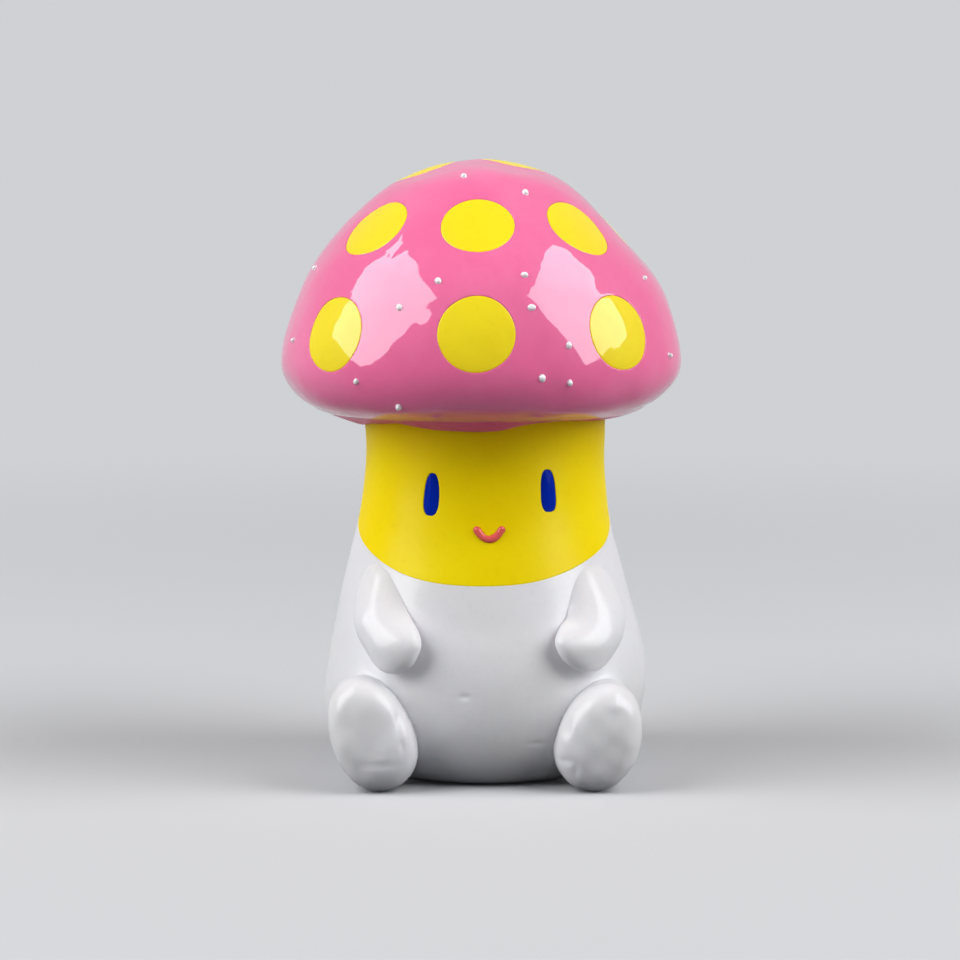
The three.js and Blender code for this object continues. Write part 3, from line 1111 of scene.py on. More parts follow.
@dataclass
class Cap:
    """The cap: a clay dome with a rolled rim, inlaid dots, beads, its underside and foil core.

    The rim's controls are shares of the way from the mouth to the widest place, the dome's are
    shares of the radius and of the height over the rim. The collar's places are the angle and
    the height of the underside's lip.

    Attributes:
        radius: Greatest radius.
        mouth_radius: Radius of the opening below.
        mouth_height: Height of that opening.
        rim_height: Height at which the cap is widest.
        top_height: Height of the top.
        clay: Thickness of the dome's clay.
        ledge: Width of the step that the underside is pressed against.
        underside_clay: Thickness of the underside.
        hole_radius: Radius of the dowel's hole.
        socket_radius: Radius of the neck's socket in the underside.
        lip_round: Radius of the collar's lip.
        edge_gap: Gap between the underside and the dome.
        slope: Power that makes the underside's cone hollow.
        dot_radii: Radius of the dots of each ring.
        dot_squareness: Squareness of their plans.
        dot_lean: Most that a plan is turned, in degrees.
        uneven: Most that a dot's half widths differ from its radius, as a share.
        bead_radius: Radius of a bead.
        bead_height: Height of a bead.
        sides: Points round the dome.
        rings: Rings down the dome.
    """

    radius: float = 40.0
    mouth_radius: float = 31.0
    mouth_height: float = 71.2
    rim_height: float = 81.4
    top_height: float = 121.0
    clay: float = 5.2
    ledge: float = 2.5
    underside_clay: float = 3.4
    hole_radius: float = 3.3
    socket_radius: float = 24.2
    lip_round: float = 0.5
    edge_gap: float = 0.02
    slope: float = 1.25
    dot_radii: dict[str, float] = field(
        default_factory=lambda: {"low": 7.3, "high": 7.0, "top": 7.3})
    dot_squareness: float = 2.04
    dot_lean: float = 40.0
    uneven: float = 0.012
    bead_radius: float = 0.54
    bead_height: float = 0.6
    sides: int = 384
    rings: int = 140

    rim_controls = ((0, 0), (0.4, 0.08), (0.82, 0.31))
    dome_controls = (
        (1.02, -0.025), (0.9625, 0.235), (0.8875, 0.42), (0.775, 0.575), (0.55, 0.795),
        (0.395, 0.92), (0.165, 0.995), (0, 1),
    )
    lumps = (Handwork(0.1, 26.0, 173), Handwork(0.07, 11.0, 12), Handwork(0.022, 5.5, 7))
    hollows = (
        Dent((-36.0, 0.0, 94.0), (14.0, 30.0, 10.0), -0.7),
        Dent((-38.0, 0.0, 75.0), (14.0, 30.0, 4.0), -0.7),
        Dent((31.0, 0.0, 106.0), (12.0, 26.0, 8.0), -1.0),
        Dent((37.0, 0.0, 73.5), (14.0, 28.0, 4.0), -1.0),
        Dent((7.5, -6.5, 120.0), (9.0, 5.5, 5.0), -0.7),
        Dent((-11.5, -7.5, 118.5), (8.0, 6.0, 5.0), -0.8),
    )
    underside_lumps = Handwork(0.07, 11.0, 21)
    collar_places = (
        (-180, 69.6), (-130, 70.0), (-90, 68.7), (-60, 69.4), (-42, 70.0), (-31, 69.5),
        (-21, 69.05), (-10, 68.8), (0, 68.8), (8, 69.1), (15, 69.8), (23, 70.3), (37, 70.4),
        (52, 70.3), (73, 69.9), (110, 69.2), (145, 69.9), (180, 69.6),
    )
    # Rings down the dome's inside, share of the relief at the first ring outside, and the rings
    # over which it grows to all of it.
    inside_rings, first_relief, eased_rings = 26, 0.1, 6
    # A dot's seed is its number and this many for each letter of its ring's name.
    dot_seed_step = 40
    # A bead's lowest rings as shares of its radius and height, and the height of its ball's edge.
    bead_foot = ((0.0, 0.0), (0.5, 0.0), (1.22, 0.0), (1.1, 0.04), (1.02, 0.14))
    bead_edge = 0.24
    bead_rings, bead_sides, bead_seed = 12, 28, 100
    # How much beads differ in radius and height, how oval they are and how high they lie.
    bead_sizes, bead_heights, bead_oval, bead_lift = (0.88, 1.12), (0.85, 1.15), 0.09, 0.01
    # Points round the underside and along its collar, and rings on each part of its section.
    underside_sides, collar_points = 240, 400
    ceiling_rings, lip_rings, cone_rings, floor_rings = 10, 6, 15, 8
    edge_shares = (0.33, 0.67, 1.0)
    # How far under the mouth's plane the underside's lumps start.
    lumps_below = 0.05

    def __post_init__(self) -> None:
        """Draws the outline and gives the dome its lumps."""
        rim = [(lerp(self.mouth_radius, self.radius, out),
                lerp(self.mouth_height, self.rim_height, up)) for out, up in self.rim_controls]
        dome = [(self.radius * out, lerp(self.rim_height, self.top_height, up))
                for out, up in self.dome_controls]
        outline = outline_towards(rim + dome)
        outline[-1, 0] = 0.0
        self.form = Dome(outline, [*self.lumps, *self.hollows])
        self.floor = self.mouth_height + self.underside_clay

    def shell(self, palette: Palette) -> None:
        """The pink dome: down its inside from the top, round the mouth and up its outside.

        The relief is left out inside and grows to its full height over the first rings outside.

        Args:
            palette: The finishes.
        """
        outline = self.form.outline
        inner = outline - self.form.normals * self.clay
        inner = inner[inner[:, 1] > self.rim_height][::-1]
        inner[0, 0] = 0.0
        ledge = straight(
            (self.radius - self.clay, self.rim_height),
            (self.mouth_radius + self.ledge, self.floor),
            (self.mouth_radius, self.floor),
            tuple(outline[0]),
        )
        inside = np.concatenate([resample(inner, self.inside_rings), ledge])
        outside = resample(outline, self.rings)[1:]
        profile = np.concatenate([inside, outside])
        share = np.concatenate([np.zeros(len(inside)), np.ones(len(outside))])
        easing = np.linspace(self.first_relief, 1, self.eased_rings)
        share[len(inside):len(inside) + len(easing)] = easing
        grid = around(profile[:, :1], profile[:, 1:], turns(self.sides)[None])
        piece = skin("cap_clay", self.form.worked(grid, share[:, None]), Ends.POLES)
        cutters = []
        for node in self.nodes("dot_"):
            inlay, tangent = self.dot(node)
            cutters.append(inlay.pocket(f"{node}_pocket", self.form, tangent))
        carve(piece, cutters)
        palette.dress(piece, palette.cap, "cap")

    def nodes(self, start: str) -> list[str]:
        """The frame's nodes whose names start with a word, in order."""
        return sorted(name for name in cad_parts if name.startswith(start))

    def tangent(self, node: str) -> Tangent:
        """The tangent plane where a node lies on the dome."""
        low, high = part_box(node)
        return self.form.tangent_near(tuple((low + high) / 2 / MM))

    def dot(self, node: str) -> tuple[Inlay, Tangent]:
        """The dot that stands for a node, a little out of round.

        Args:
            node: The node's name, which gives its ring and its number.

        Returns:
            The inlay, and where it lies.
        """
        _, ring, number = node.split("_")
        rng = np.random.default_rng(int(number) + self.dot_seed_step * len(ring))
        wide, tall, lean = rng.uniform(-1, 1, 3)
        inlay = Inlay(
            half_width=self.dot_radii[ring] * (1 + self.uneven * wide),
            half_length=self.dot_radii[ring] * (1 + self.uneven * tall),
            lean=self.dot_lean * lean,
            squareness=self.dot_squareness,
        )
        return inlay, self.tangent(node)

    def dots(self, palette: Palette) -> None:
        """Lays a yellow disc into each pocket.

        Args:
            palette: The finishes.
        """
        for node in self.nodes("dot_"):
            inlay, tangent = self.dot(node)
            disc = inlay.disc(f"{node}_clay", self.form, tangent)
            palette.dress(disc, palette.dots, node)

    def beads(self, palette: Palette) -> None:
        """Sets the beads: half balls a little out of round, that stand on the varnish.

        A bead's rings are r = sin a and z = cos a of a quarter turn, with a short foot below
        where the ball meets the surface and a skirt where varnish has run round it.

        Args:
            palette: The finishes.
        """
        foot_spread, foot_rise = np.array(self.bead_foot).T
        quarter = np.linspace(np.pi / 2, 0, self.bead_rings)
        spread = np.concatenate([foot_spread, np.sin(quarter)])
        rise = np.concatenate([foot_rise, lerp(self.bead_edge, 1.0, np.cos(quarter))])
        angle = turns(self.bead_sides)
        for number, node in enumerate(self.nodes("bead_")):
            rng = np.random.default_rng(self.bead_seed + number)
            size = self.bead_radius * rng.uniform(*self.bead_sizes)
            oval = 1 + self.bead_oval * np.cos(2 * (angle - rng.uniform(0, np.pi)))
            tall = self.bead_height * rng.uniform(*self.bead_heights)
            x = size * spread[:, None] * np.cos(angle) * oval
            y = size * spread[:, None] * np.sin(angle) * oval
            level = self.bead_lift + np.broadcast_to(tall * rise[:, None], x.shape)
            rows = self.form.lay(self.tangent(node), x, y, level)
            palette.dress(skin(f"{node}_clay", rows, Ends.POLES), palette.beads, node)

    def underside(self, palette: Palette) -> None:
        """The sheet that closes the mouth: a cone down to a wavy collar round the neck.

        Its section is a loop of radii and heights: along the ceiling of the neck's socket, down
        the socket's wall and round the collar's lip, out along the cone, up its outer edge and
        back to the hole. It leaves the cap's axis for the stem's towards the socket.

        Args:
            palette: The finishes.
        """
        angle = turns(self.underside_sides)
        collar = curve(self.collar_places, self.collar_points, Basis.THROUGH)
        lip = np.interp(np.mod(np.degrees(angle) + 180, 360) - 180, collar[:, 0], collar[:, 1])
        edge = self.mouth_radius - self.edge_gap
        bend = np.linspace(0, np.pi / 2, self.lip_rings)[:, None]
        cone = steps(self.cone_rings)
        wall = np.array(self.edge_shares)[:, None]
        ceiling = np.linspace(self.hole_radius, self.socket_radius, self.ceiling_rings)
        section = [
            (ceiling[:, None], self.mouth_height),
            (self.socket_radius + self.lip_round * (1 - np.cos(bend)),
             lip + self.lip_round * (1 - np.sin(bend))),
            (lerp(self.socket_radius + self.lip_round, edge, cone),
             lerp(lip, self.mouth_height, cone ** self.slope)),
            (np.full(wall.shape, edge), lerp(self.mouth_height, self.floor, wall)),
            (np.linspace(edge, self.hole_radius, self.floor_rings)[1:, None], self.floor),
        ]
        radius = np.concatenate([out for out, _ in section])
        height = np.concatenate([np.broadcast_to(up, (len(out), len(angle)))
                                 for out, up in section])
        grid = around(radius, height, angle[None])
        beyond = (radius - self.socket_radius) / (self.mouth_radius - self.socket_radius)
        grid[..., 0] += STEM_SHIFT * (1 - np.clip(beyond, 0, 1))
        seen = height < self.mouth_height - self.lumps_below
        grid[..., 2] -= self.underside_lumps.at(grid) * seen
        palette.dress(skin("cap_underside_clay", grid, Ends.LOOP), palette.underside,
                      "cap_underside")

    def build(self, palette: Palette) -> None:
        """Builds every piece of the cap and dresses its core.

        Args:
            palette: The finishes.
        """
        self.shell(palette)
        self.underside(palette)
        self.dots(palette)
        self.beads(palette)
        palette.dress_node("cap_core", palette.foil)


@dataclass(frozen=True)
class Foot:
    """A foot: a pad with a flattened sole to the front, pressed against the torso.

    Attributes:
        side: Which foot it is.
        across: Distance of its middle from the stem's axis.
        lean: Turn of the pad in the front plane, in degrees.
        half_width: Half width of its outline.
        half_length: Half length of its outline.
        blended: Direction in the front plane in which it is smoothed into the torso, in
            degrees from +X towards +Z.
        marks: Tool marks in its sole.
        seed: Draws its lumps.
        lumps: Height and spacing of its lumps.
        half_depth: Half of its depth.
        narrowing: Share by which its top is narrower and its bottom wider.
        squareness: 2 for an elliptic outline, more for a fuller one.
        flatness: 2 for a rounded pad, more for a flat one with a tighter rim.
        forward: Distance of its middle before the stem's axis.
        fillet: Width of the smoothed band where it is widest.
        crease: Width of the band elsewhere, where it is only pressed on.
        fading: Shares of its half size in the blended direction, between which the band widens.
        nearby: How far out, in half sizes, the torso is raised.
        sides: Points round a ring.
        rings: How many rings.
    """

    side: Side
    across: float
    lean: float
    half_width: float
    half_length: float
    blended: float
    marks: tuple[Dent, ...]
    seed: int
    lumps: tuple[Pair, ...] = ((0.13, 12.0), (0.07, 4.5))
    half_depth: float = 7.6
    narrowing: float = 0.1
    squareness: float = 2.16
    flatness: float = 3.4
    forward: float = 27.0
    fillet: float = 4.4
    crease: float = 0.5
    fading: Pair = (0.45, 0.98)
    nearby: float = 2.2
    sides: int = 208
    rings: int = 120

    # Places that are tried for the lowest point, and how far out the narrowing still grows.
    plan_points, widest_share = 720, 1.5
    # The step over which the steepness is measured, and the least steepness.
    slope_step, least_slope = 0.05, 0.02

    @property
    def middle(self) -> Array:
        """The pad's middle, which puts its lowest point on the floor."""
        _, z = turned(*self.plan(turns(self.plan_points)), self.lean)
        return np.array([self.across, -self.forward, -z.min()])

    def plan(self, angle: Array) -> tuple[Array, Array]:
        """The outline: |cos a|^(2/s) and |sin a|^(2/s) with their signs, narrower at the top.

        Args:
            angle: Angles round the outline, in radians.

        Returns:
            Distances across and up in the pad's own plane.
        """
        wide = signed_power(np.cos(angle), 2.0 / self.squareness)
        tall = signed_power(np.sin(angle), 2.0 / self.squareness)
        return self.half_width * wide * (1 - self.narrowing * tall), self.half_length * tall

    def reach(self, points: Array) -> Array:
        """How far out each point is: 1 on the pad, less inside.

        With q the share of the outline that the point reaches in the front plane and d its share
        of the half depth, it is (q^f + |d|^f)^(1/f), where f is the flatness.

        Args:
            points: Points in space.

        Returns:
            The reach of each.
        """
        away = points - self.middle
        x, z = turned(away[..., 0], away[..., 2], -self.lean)
        tall = z / self.half_length
        held = np.clip(tall, -self.widest_share, self.widest_share)
        wide = x / (self.half_width * (1 - self.narrowing * held))
        deep = np.abs(away[..., 1] / self.half_depth)
        share = np.abs(wide) ** self.squareness + np.abs(tall) ** self.squareness
        share = share ** (1 / self.squareness)
        return (share ** self.flatness + deep ** self.flatness) ** (1 / self.flatness)

    def distance(self, points: Array) -> Array:
        """Distance of points near the pad to it: its excess over 1 divided by its steepness.

        Args:
            points: Points in space.

        Returns:
            The distances, below zero inside.
        """
        slopes = []
        for axis in np.eye(3) * self.slope_step:
            change = self.reach(points + axis) - self.reach(points - axis)
            slopes.append(change / (2 * self.slope_step))
        steepness = np.sqrt(sum(slope ** 2 for slope in slopes))
        return (self.reach(points) - 1) / np.maximum(steepness, self.least_slope)

    def band(self, points: Array) -> Array:
        """Width of the smoothed band at each point, by how far it lies in the blended direction.

        Args:
            points: Points near the pad.

        Returns:
            The width at each point.
        """
        turn = math.radians(self.blended)
        ahead = np.array([math.cos(turn), 0.0, math.sin(turn)])
        half = math.hypot(self.half_width * ahead[0], self.half_length * ahead[2])
        share = ((points - self.middle) * ahead).sum(-1) / half
        low, high = self.fading
        return lerp(self.crease, self.fillet, smooth_step((share - low) / (high - low)))

    def raise_torso(self, points: Array, normal: Array) -> Array:
        """How far the pad's smoothed band raises points of the torso.

        Args:
            points: Points on the torso.
            normal: The direction out of it at each.

        Returns:
            The rise at each point.
        """
        rise = np.zeros(points.shape[:-1])
        near = self.reach(points) < self.nearby
        rise[near] = joined_rise(points[near], normal[near], self.band(points[near]),
                                 self.distance)
        return rise

    def build(self, form: Stem, palette: Palette) -> None:
        """Builds the foot: rings from its hidden back to its sole, then fitted to the torso.

        A ring at the turn t reaches |cos t|^(2/f) of the outline and lies |sin t|^(2/f) of the
        half depth before or behind the middle, where f is the flatness.

        Args:
            form: The stem.
            palette: The finishes.
        """
        turn = np.linspace(-np.pi / 2, np.pi / 2, CURVE_POINTS)
        power = 2.0 / self.flatness
        half = resample(np.stack([
            self.half_width * np.cos(turn) ** power,
            self.half_depth * signed_power(np.sin(turn), power),
        ], 1), self.rings)
        share = half[:, :1] / self.half_width
        share[[0, -1]] = 0.0
        x, z = self.plan(turns(self.sides)[None])
        x, z = turned(x * share, z * share, self.lean)
        grid = np.stack(np.broadcast_arrays(x, -half[:, 1:], z), -1) + self.middle
        ring = np.roll(grid, -1, 1) - np.roll(grid, 1, 1)
        normal = np.cross(ring, np.gradient(grid, axis=0))
        normal /= np.maximum(np.linalg.norm(normal, axis=-1, keepdims=True), TINY)
        normal[0], normal[-1] = (0.0, 1.0, 0.0), (0.0, -1.0, 0.0)
        raised = lumps_at(grid, self.lumps, self.seed) + sum(mark.at(grid) for mark in self.marks)
        grid = grid + normal * raised[..., None]
        rise = joined_rise(grid, normal, self.band(grid), form.worked_clearance)
        grid = fitted(grid + normal * rise[..., None], form)
        grid[..., 2] = np.maximum(grid[..., 2], 0.0)
        name = f"foot_{self.side.value}"
        palette.dress(skin(f"{name}_clay", grid, Ends.POLES, STEM_SHIFT), palette.white, name)


def fitted(grid: Array, form: Stem, depth: float = SEAM_SINK) -> Array:
    """Moves points that lie deep inside the stem straight outwards, to a depth under its skin.

    Args:
        grid: The points.
        form: The stem.
        depth: The depth.

    Returns:
        The points, of which those outside have stayed.
    """
    radius = radius_of(grid)
    angle = np.arctan2(grid[..., 0], -grid[..., 1])
    height = grid[..., 2]
    bare = around(form.radius_at(height), height, angle)
    surface = form.radius_at(height) + form.relief(bare) - depth
    scale = np.where(radius < surface, surface / np.maximum(radius, SMALL), 1.0)
    moved = grid.copy()
    moved[..., :2] *= scale[..., None]
    return moved


def room_inside(places: Array, ring: Array, values: Array) -> tuple[Array, Array]:
    """How much room a place has inside a ring, and the ring's values blended at that place.

    The room is one over the mean of 1 / distance to the ring over all directions, so it is the
    radius in the middle of a circle and falls to zero at the ring. A straight step of the ring
    whose line passes the place at a distance d, and which is seen between the angles p and q
    from that line's nearest point, adds (sin q - sin p) / d to the sum over directions. The
    same weights blend the values.

    Args:
        places: Places in the ring's plane.
        ring: The ring's points, anticlockwise.
        values: Values at those points, one row each.

    Returns:
        The room at each place, and the values there.
    """
    start = ring - places[..., None, :]
    end = np.roll(start, -1, axis=-2)
    step = end - start
    step /= np.linalg.norm(step, axis=-1, keepdims=True)
    passing = start[..., 0] * step[..., 1] - start[..., 1] * step[..., 0]
    passing = np.where(np.abs(passing) < TINY, TINY, passing)
    sines = [(side * step).sum(-1) / np.linalg.norm(side, axis=-1) for side in (start, end)]
    seen = (sines[1] - sines[0]) / passing
    total = seen.sum(-1)
    between = (values + np.roll(values, -1, axis=0)) / 2
    return 2 * np.pi / total, (seen[..., None] * between).sum(-2) / total[..., None]


@dataclass(frozen=True)
class Arm:
    """An arm: a flattened roll pressed on the torso, thick at the hand and thin at the shoulder.

    Its plan is drawn in angle and height on the stem. Each direction round it has its own edge:
    rounded under where the hand stands free, creased where it was pressed on, and drawn out thin
    where it was smoothed into the shoulder.

    Attributes:
        side: Which arm it is.
        outline: Places round its widest ring, anticlockwise as seen from outside, each with its
            angle in degrees, height, share of smoothing and angle of undercut in degrees.
        middle: Angle and height of the place that the rings shrink to.
        seed: Draws its lumps.
        lumps: Height and spacing of its lumps.
        shoulder: Thickness scale at the top.
        hand: Thickness scale at the bottom.
        high: Height over which the shoulder's thickness holds.
        low: Height under which the hand's thickness holds.
        gap: Distance of its base from the torso.
        round_edge: Power of the room at a rounded edge, where the section is half an ellipse.
        drawn_edge: Power of the room where the clay was drawn out thin.
        most_undercut: Greatest angle of undercut, in degrees.
        sides: Points round a ring.
        rings: Rings from its widest place to its top.
    """

    side: Side
    outline: tuple[tuple[float, float, float, float], ...]
    middle: Pair
    seed: int
    lumps: tuple[Pair, ...] = ((0.14, 9.0), (0.04, 4.5))
    shoulder: float = 2.8
    hand: float = 6.4
    high: float = 40.0
    low: float = 26.0
    gap: float = 0.025
    round_edge: float = 0.5
    drawn_edge: float = 1.15
    most_undercut: float = 60.0
    sides: int = 200
    rings: int = 71

    # Rings on the base, the power that crowds the others at the edge, and how far they reach.
    base_rings, crowding, furthest = 8, 0.9, 0.99999

    def build(self, form: Stem, palette: Palette) -> None:
        """Builds the arm: out along its base, round under its edge and in over its top.

        At the turn t a ring reaches cos t of the outline. Below the widest ring it rises as
        lift (sin t + sin u) / sin u, with u the undercut and lift the thickness times
        sin u / (1 + sin u). Above it the rest of the thickness is scaled by (room / most
        room)^p, where p goes from a rounded to a drawn out edge.

        Args:
            form: The stem.
            palette: The finishes.
        """
        ring = curve(self.outline, self.sides, Basis.THROUGH, closed=True)
        smoothing = np.clip(ring[:, 2], 0, 1)
        sunk = np.sin(np.radians(np.clip(ring[:, 3], 0, self.most_undercut)))
        lift = self.thickness(ring[:, 1]) * sunk / (1 + sunk)
        under = np.arcsin(sunk)
        turn = steps(self.rings) ** self.crowding * (np.pi / 2 + under) - under
        base = np.linspace(0, 1, self.base_rings)[:, None] * np.cos(under)
        reach = np.concatenate([base, np.minimum(np.cos(turn), self.furthest)])
        height = lerp(self.middle[1], ring[:, 1], reach)
        angle = np.radians(lerp(self.middle[0], ring[:, 0], reach))
        upper_height, upper_angle = height[len(base):], angle[len(base):]

        scale = form.radius_at(self.middle[1])
        plan = np.stack([np.radians(ring[:, 0]) * scale, ring[:, 1]], 1)
        places = np.stack([upper_angle * scale, upper_height], -1)
        room, inner = room_inside(places, plan, np.stack([smoothing, lift], 1))
        power = lerp(self.round_edge, self.drawn_edge, np.clip(inner[..., 0], 0, 1))
        swell = np.clip(room / room.max(), 0, 1) ** power
        over = lerp(inner[..., 1], self.thickness(upper_height), swell)
        below = lift * (np.sin(turn) / np.maximum(sunk, SMALL) + 1)
        level = np.where(turn < 0, below, over)
        lumps = lumps_at(form.wrap(upper_angle, upper_height), self.lumps, self.seed)
        level = np.concatenate([np.zeros_like(base), level + lumps * level / self.hand])
        grid = form.wrap(angle, height, self.gap + level)
        name = f"arm_{self.side.value}"
        palette.dress(skin(f"{name}_clay", grid, Ends.POLES, STEM_SHIFT), palette.white, name)

    def thickness(self, height: Array) -> Array:
        """Thickness scale at a height, eased from the shoulder's to the hand's."""
        down = smooth_step((self.high - height) / (self.high - self.low))
        return lerp(self.shoulder, self.hand, down)


@dataclass
class Body:
    """The stem: a white torso and a yellow head with its face, two arms, two feet, a foil core.

    The base's controls are shares of the way from the base's radius and height to the belly's,
    the flank's from the belly's to the neck's. An eye's place and the mouth's are an angle and a
    height, and the mouth's line is drawn on the head's tangent plane at its place.

    Attributes:
        base_radius: Radius of the flat base.
        belly_radius: Greatest radius.
        belly_height: Height of that radius.
        neck_radius: Least radius.
        neck_height: Height of that radius.
        neck_flare: How much wider the neck is at its top.
        neck_top: Height of its top.
        clay: Thickness of the clay.
        corner_clay: Thickness at the inner corner below, as a share of the rest.
        split_height: Height at which the cut between torso and head crosses the axis.
        split_tilt: Tilt of that cut down to the front, in degrees.
        split_gap: Gap between the two at the cut.
        split_edge: Radius of their edges there.
        mouth_radius: Radius of the mouth's thread.
        mouth_level: Height of the thread's middle over the head.
        groove_gap: Gap between the thread and its groove.
        sides: Points round the stem.
    """

    base_radius: float = 22.0
    belly_radius: float = 32.0
    belly_height: float = 17.0
    neck_radius: float = 23.6
    neck_height: float = 64.0
    neck_flare: float = 0.5
    neck_top: float = 70.9
    clay: float = 5.0
    corner_clay: float = 1.35
    split_height: float = 49.9
    split_tilt: float = 21.0
    split_gap: float = 0.02
    split_edge: float = 0.07
    mouth_radius: float = 0.7
    mouth_level: float = -0.12
    groove_gap: float = 0.03
    sides: int = 384

    base_controls = ((0, 0), (0.41, 0.053), (0.87, 0.365))
    flank_controls = (
        (-0.04, -0.045), (0.07, 0.145), (0.262, 0.294), (0.464, 0.449), (0.679, 0.589),
        (0.869, 0.719), (0.952, 0.86), (1, 1),
    )
    feet = (
        Foot(Side.LEFT, across=-21.85, lean=22.0, half_width=7.85, half_length=11.2,
             blended=155.0, seed=31, marks=(
            Dent((-16.4, -34.0, 15.0), (0.7, 3.0, 3.6), -0.24),
            Dent((-15.7, -34.0, 9.5), (0.6, 3.0, 1.2), -0.22),
            Dent((-25.6, -34.0, 13.4), (0.8, 3.0, 1.8), -0.14),
            Dent((-20.0, -34.0, 6.0), (3.0, 3.0, 0.8), -0.16),
            Dent((-22.0, -34.0, 9.5), (6.5, 3.0, 6.0), 0.5),
        )),
        Foot(Side.RIGHT, across=22.1, lean=-19.0, half_width=7.9, half_length=10.6,
             blended=25.0, seed=32, marks=(
            Dent((15.6, -34.0, 14.0), (0.8, 3.0, 3.0), -0.22),
            Dent((15.2, -34.0, 6.6), (1.6, 3.0, 0.8), -0.24),
            Dent((17.4, -34.0, 5.0), (0.7, 3.0, 1.6), -0.2),
            Dent((21.0, -34.0, 10.5), (4.5, 3.0, 4.0), 0.18),
            Dent((25.0, -34.0, 17.2), (1.6, 3.0, 1.2), 0.24),
        )),
    )
    arms = (
        Arm(Side.LEFT, middle=(-34.5, 29.6), seed=51, outline=(
            (-23.4, 24.9, 0.0, 40), (-21.8, 27.6, 0.0, 40), (-23.2, 30.1, 0.0, 36),
            (-26.6, 32.1, 0.2, 20), (-30.6, 34.3, 0.7, 6), (-34.2, 36.7, 1.0, 0),
            (-38.3, 39.0, 1.0, 0), (-42.8, 41.0, 1.0, 0), (-48.4, 42.2, 1.0, 0),
            (-54.0, 42.2, 1.0, 0), (-58.0, 40.2, 0.8, 0), (-59.4, 37.4, 0.62, 0),
            (-58.4, 34.6, 0.52, 0), (-55.8, 32.0, 0.45, 0), (-52.0, 29.4, 0.4, 0),
            (-47.4, 27.0, 0.32, 0), (-42.6, 24.9, 0.2, 4), (-37.9, 23.2, 0.06, 18),
            (-33.2, 22.4, 0.0, 34), (-28.8, 22.5, 0.0, 40), (-25.5, 23.5, 0.0, 40),
        )),
        Arm(Side.RIGHT, middle=(37.5, 29.4), seed=52, outline=(
            (42.4, 22.9, 0.1, 14), (46.4, 23.8, 0.22, 4), (50.2, 25.1, 0.32, 0),
            (54.2, 26.8, 0.4, 0), (58.2, 29.1, 0.45, 0), (61.8, 31.7, 0.5, 0),
            (64.4, 34.4, 0.55, 0), (65.0, 37.2, 0.65, 0), (62.6, 39.9, 0.85, 0),
            (57.6, 41.7, 1.0, 0), (51.8, 42.4, 1.0, 0), (46.0, 41.9, 1.0, 0),
            (40.8, 40.2, 1.0, 0), (37.0, 37.8, 1.0, 0), (34.4, 35.2, 0.9, 0),
            (32.2, 32.8, 0.6, 8), (28.8, 31.5, 0.15, 20), (26.2, 30.2, 0.0, 36),
            (24.6, 28.5, 0.0, 40), (25.0, 26.8, 0.0, 40), (26.9, 24.9, 0.0, 40),
            (29.8, 23.5, 0.0, 40), (33.6, 22.6, 0.0, 38), (38.2, 22.4, 0.02, 28),
        )),
    )
    eyes = {
        "eye_left": ((-25.1, 56.5), Inlay(
            half_width=1.58, half_length=4.12, crown=0.22, edge=0.2, narrowing=0.14,
            squareness=2.6, lean=-1.5, lip=0.14, sides=84)),
        "eye_right": ((30.9, 57.1), Inlay(
            half_width=1.66, half_length=4.1, crown=0.22, edge=0.2, narrowing=0.12,
            squareness=2.9, lean=1.0, lip=0.14, sides=84)),
    }
    mouth_place = (2.4, 49.2)
    mouth_line = (
        (-2.54, 0.84), (-1.95, 0.0), (-1.14, -0.76), (-0.19, -1.02), (0.77, -0.76),
        (1.62, 0.0), (2.24, 0.84),
    )
    lumps = (Handwork(0.17, 30.0, 3), Handwork(0.045, 10.0, 4))
    marks = (
        Dent((-3.9, -31.6, 18.6), (0.9, 2.0, 0.6), -0.22),
        Dent((10.1, -30.0, 9.2), (1.6, 2.0, 0.5), -0.16),
        Dent((1.0, -29.0, 31.0), (6.0, 4.0, 3.0), -0.14),
        Dent((-9.0, -29.0, 11.0), (4.0, 4.0, 3.0), 0.16),
        Dent((14.0, -27.0, 20.0), (4.0, 4.0, 5.0), 0.14),
        Dent((-32.0, 0.0, 23.0), (13.0, 30.0, 9.0), -0.55),
        Dent((32.0, 0.0, 21.0), (13.0, 30.0, 9.0), 0.75),
    )
    # The cut's waves: height, number round the stem and phase of each.
    split_waves = ((0.16, 3, 0.6), (0.1, 7, 2.0))
    # Rings on the base, round an edge, over the cut and on the inner floor.
    base_rings, edge_rings, cut_rings, floor_rings = 12, 5, 4, 8
    # Rings up the wall and down the inside, of the torso and of the head.
    torso_wall, torso_inside, head_wall, head_inside = 210, 26, 120, 20
    # The relief reaches its full height over one part in this many of the torso's wall.
    settling = 14
    # Power with which the clay thickens towards the inner corner.
    corner_power = 0.4
    # Points of the mouth's line before and after they are spread evenly, and the thread's rings.
    line_points, even_points, thread_rings, thread_sides = 200, 60, 36, 24
    # Rings round each end, and the wave in its thickness: share, turn in each mm and phase.
    end_rings, uneven = 8, (0.05, 1.9, 0.4)

    def __post_init__(self) -> None:
        """Draws the outline and gives the stem its lumps and marks."""
        base = [(lerp(self.base_radius, self.belly_radius, out), self.belly_height * up)
                for out, up in self.base_controls]
        flank = [(lerp(self.belly_radius, self.neck_radius, out),
                  lerp(self.belly_height, self.neck_height, up))
                 for out, up in self.flank_controls]
        self.top_radius = self.neck_radius + self.neck_flare
        outline = outline_towards(base + flank + [(self.top_radius, self.neck_top)])
        self.form = Stem(outline, [*self.lumps, *self.marks])

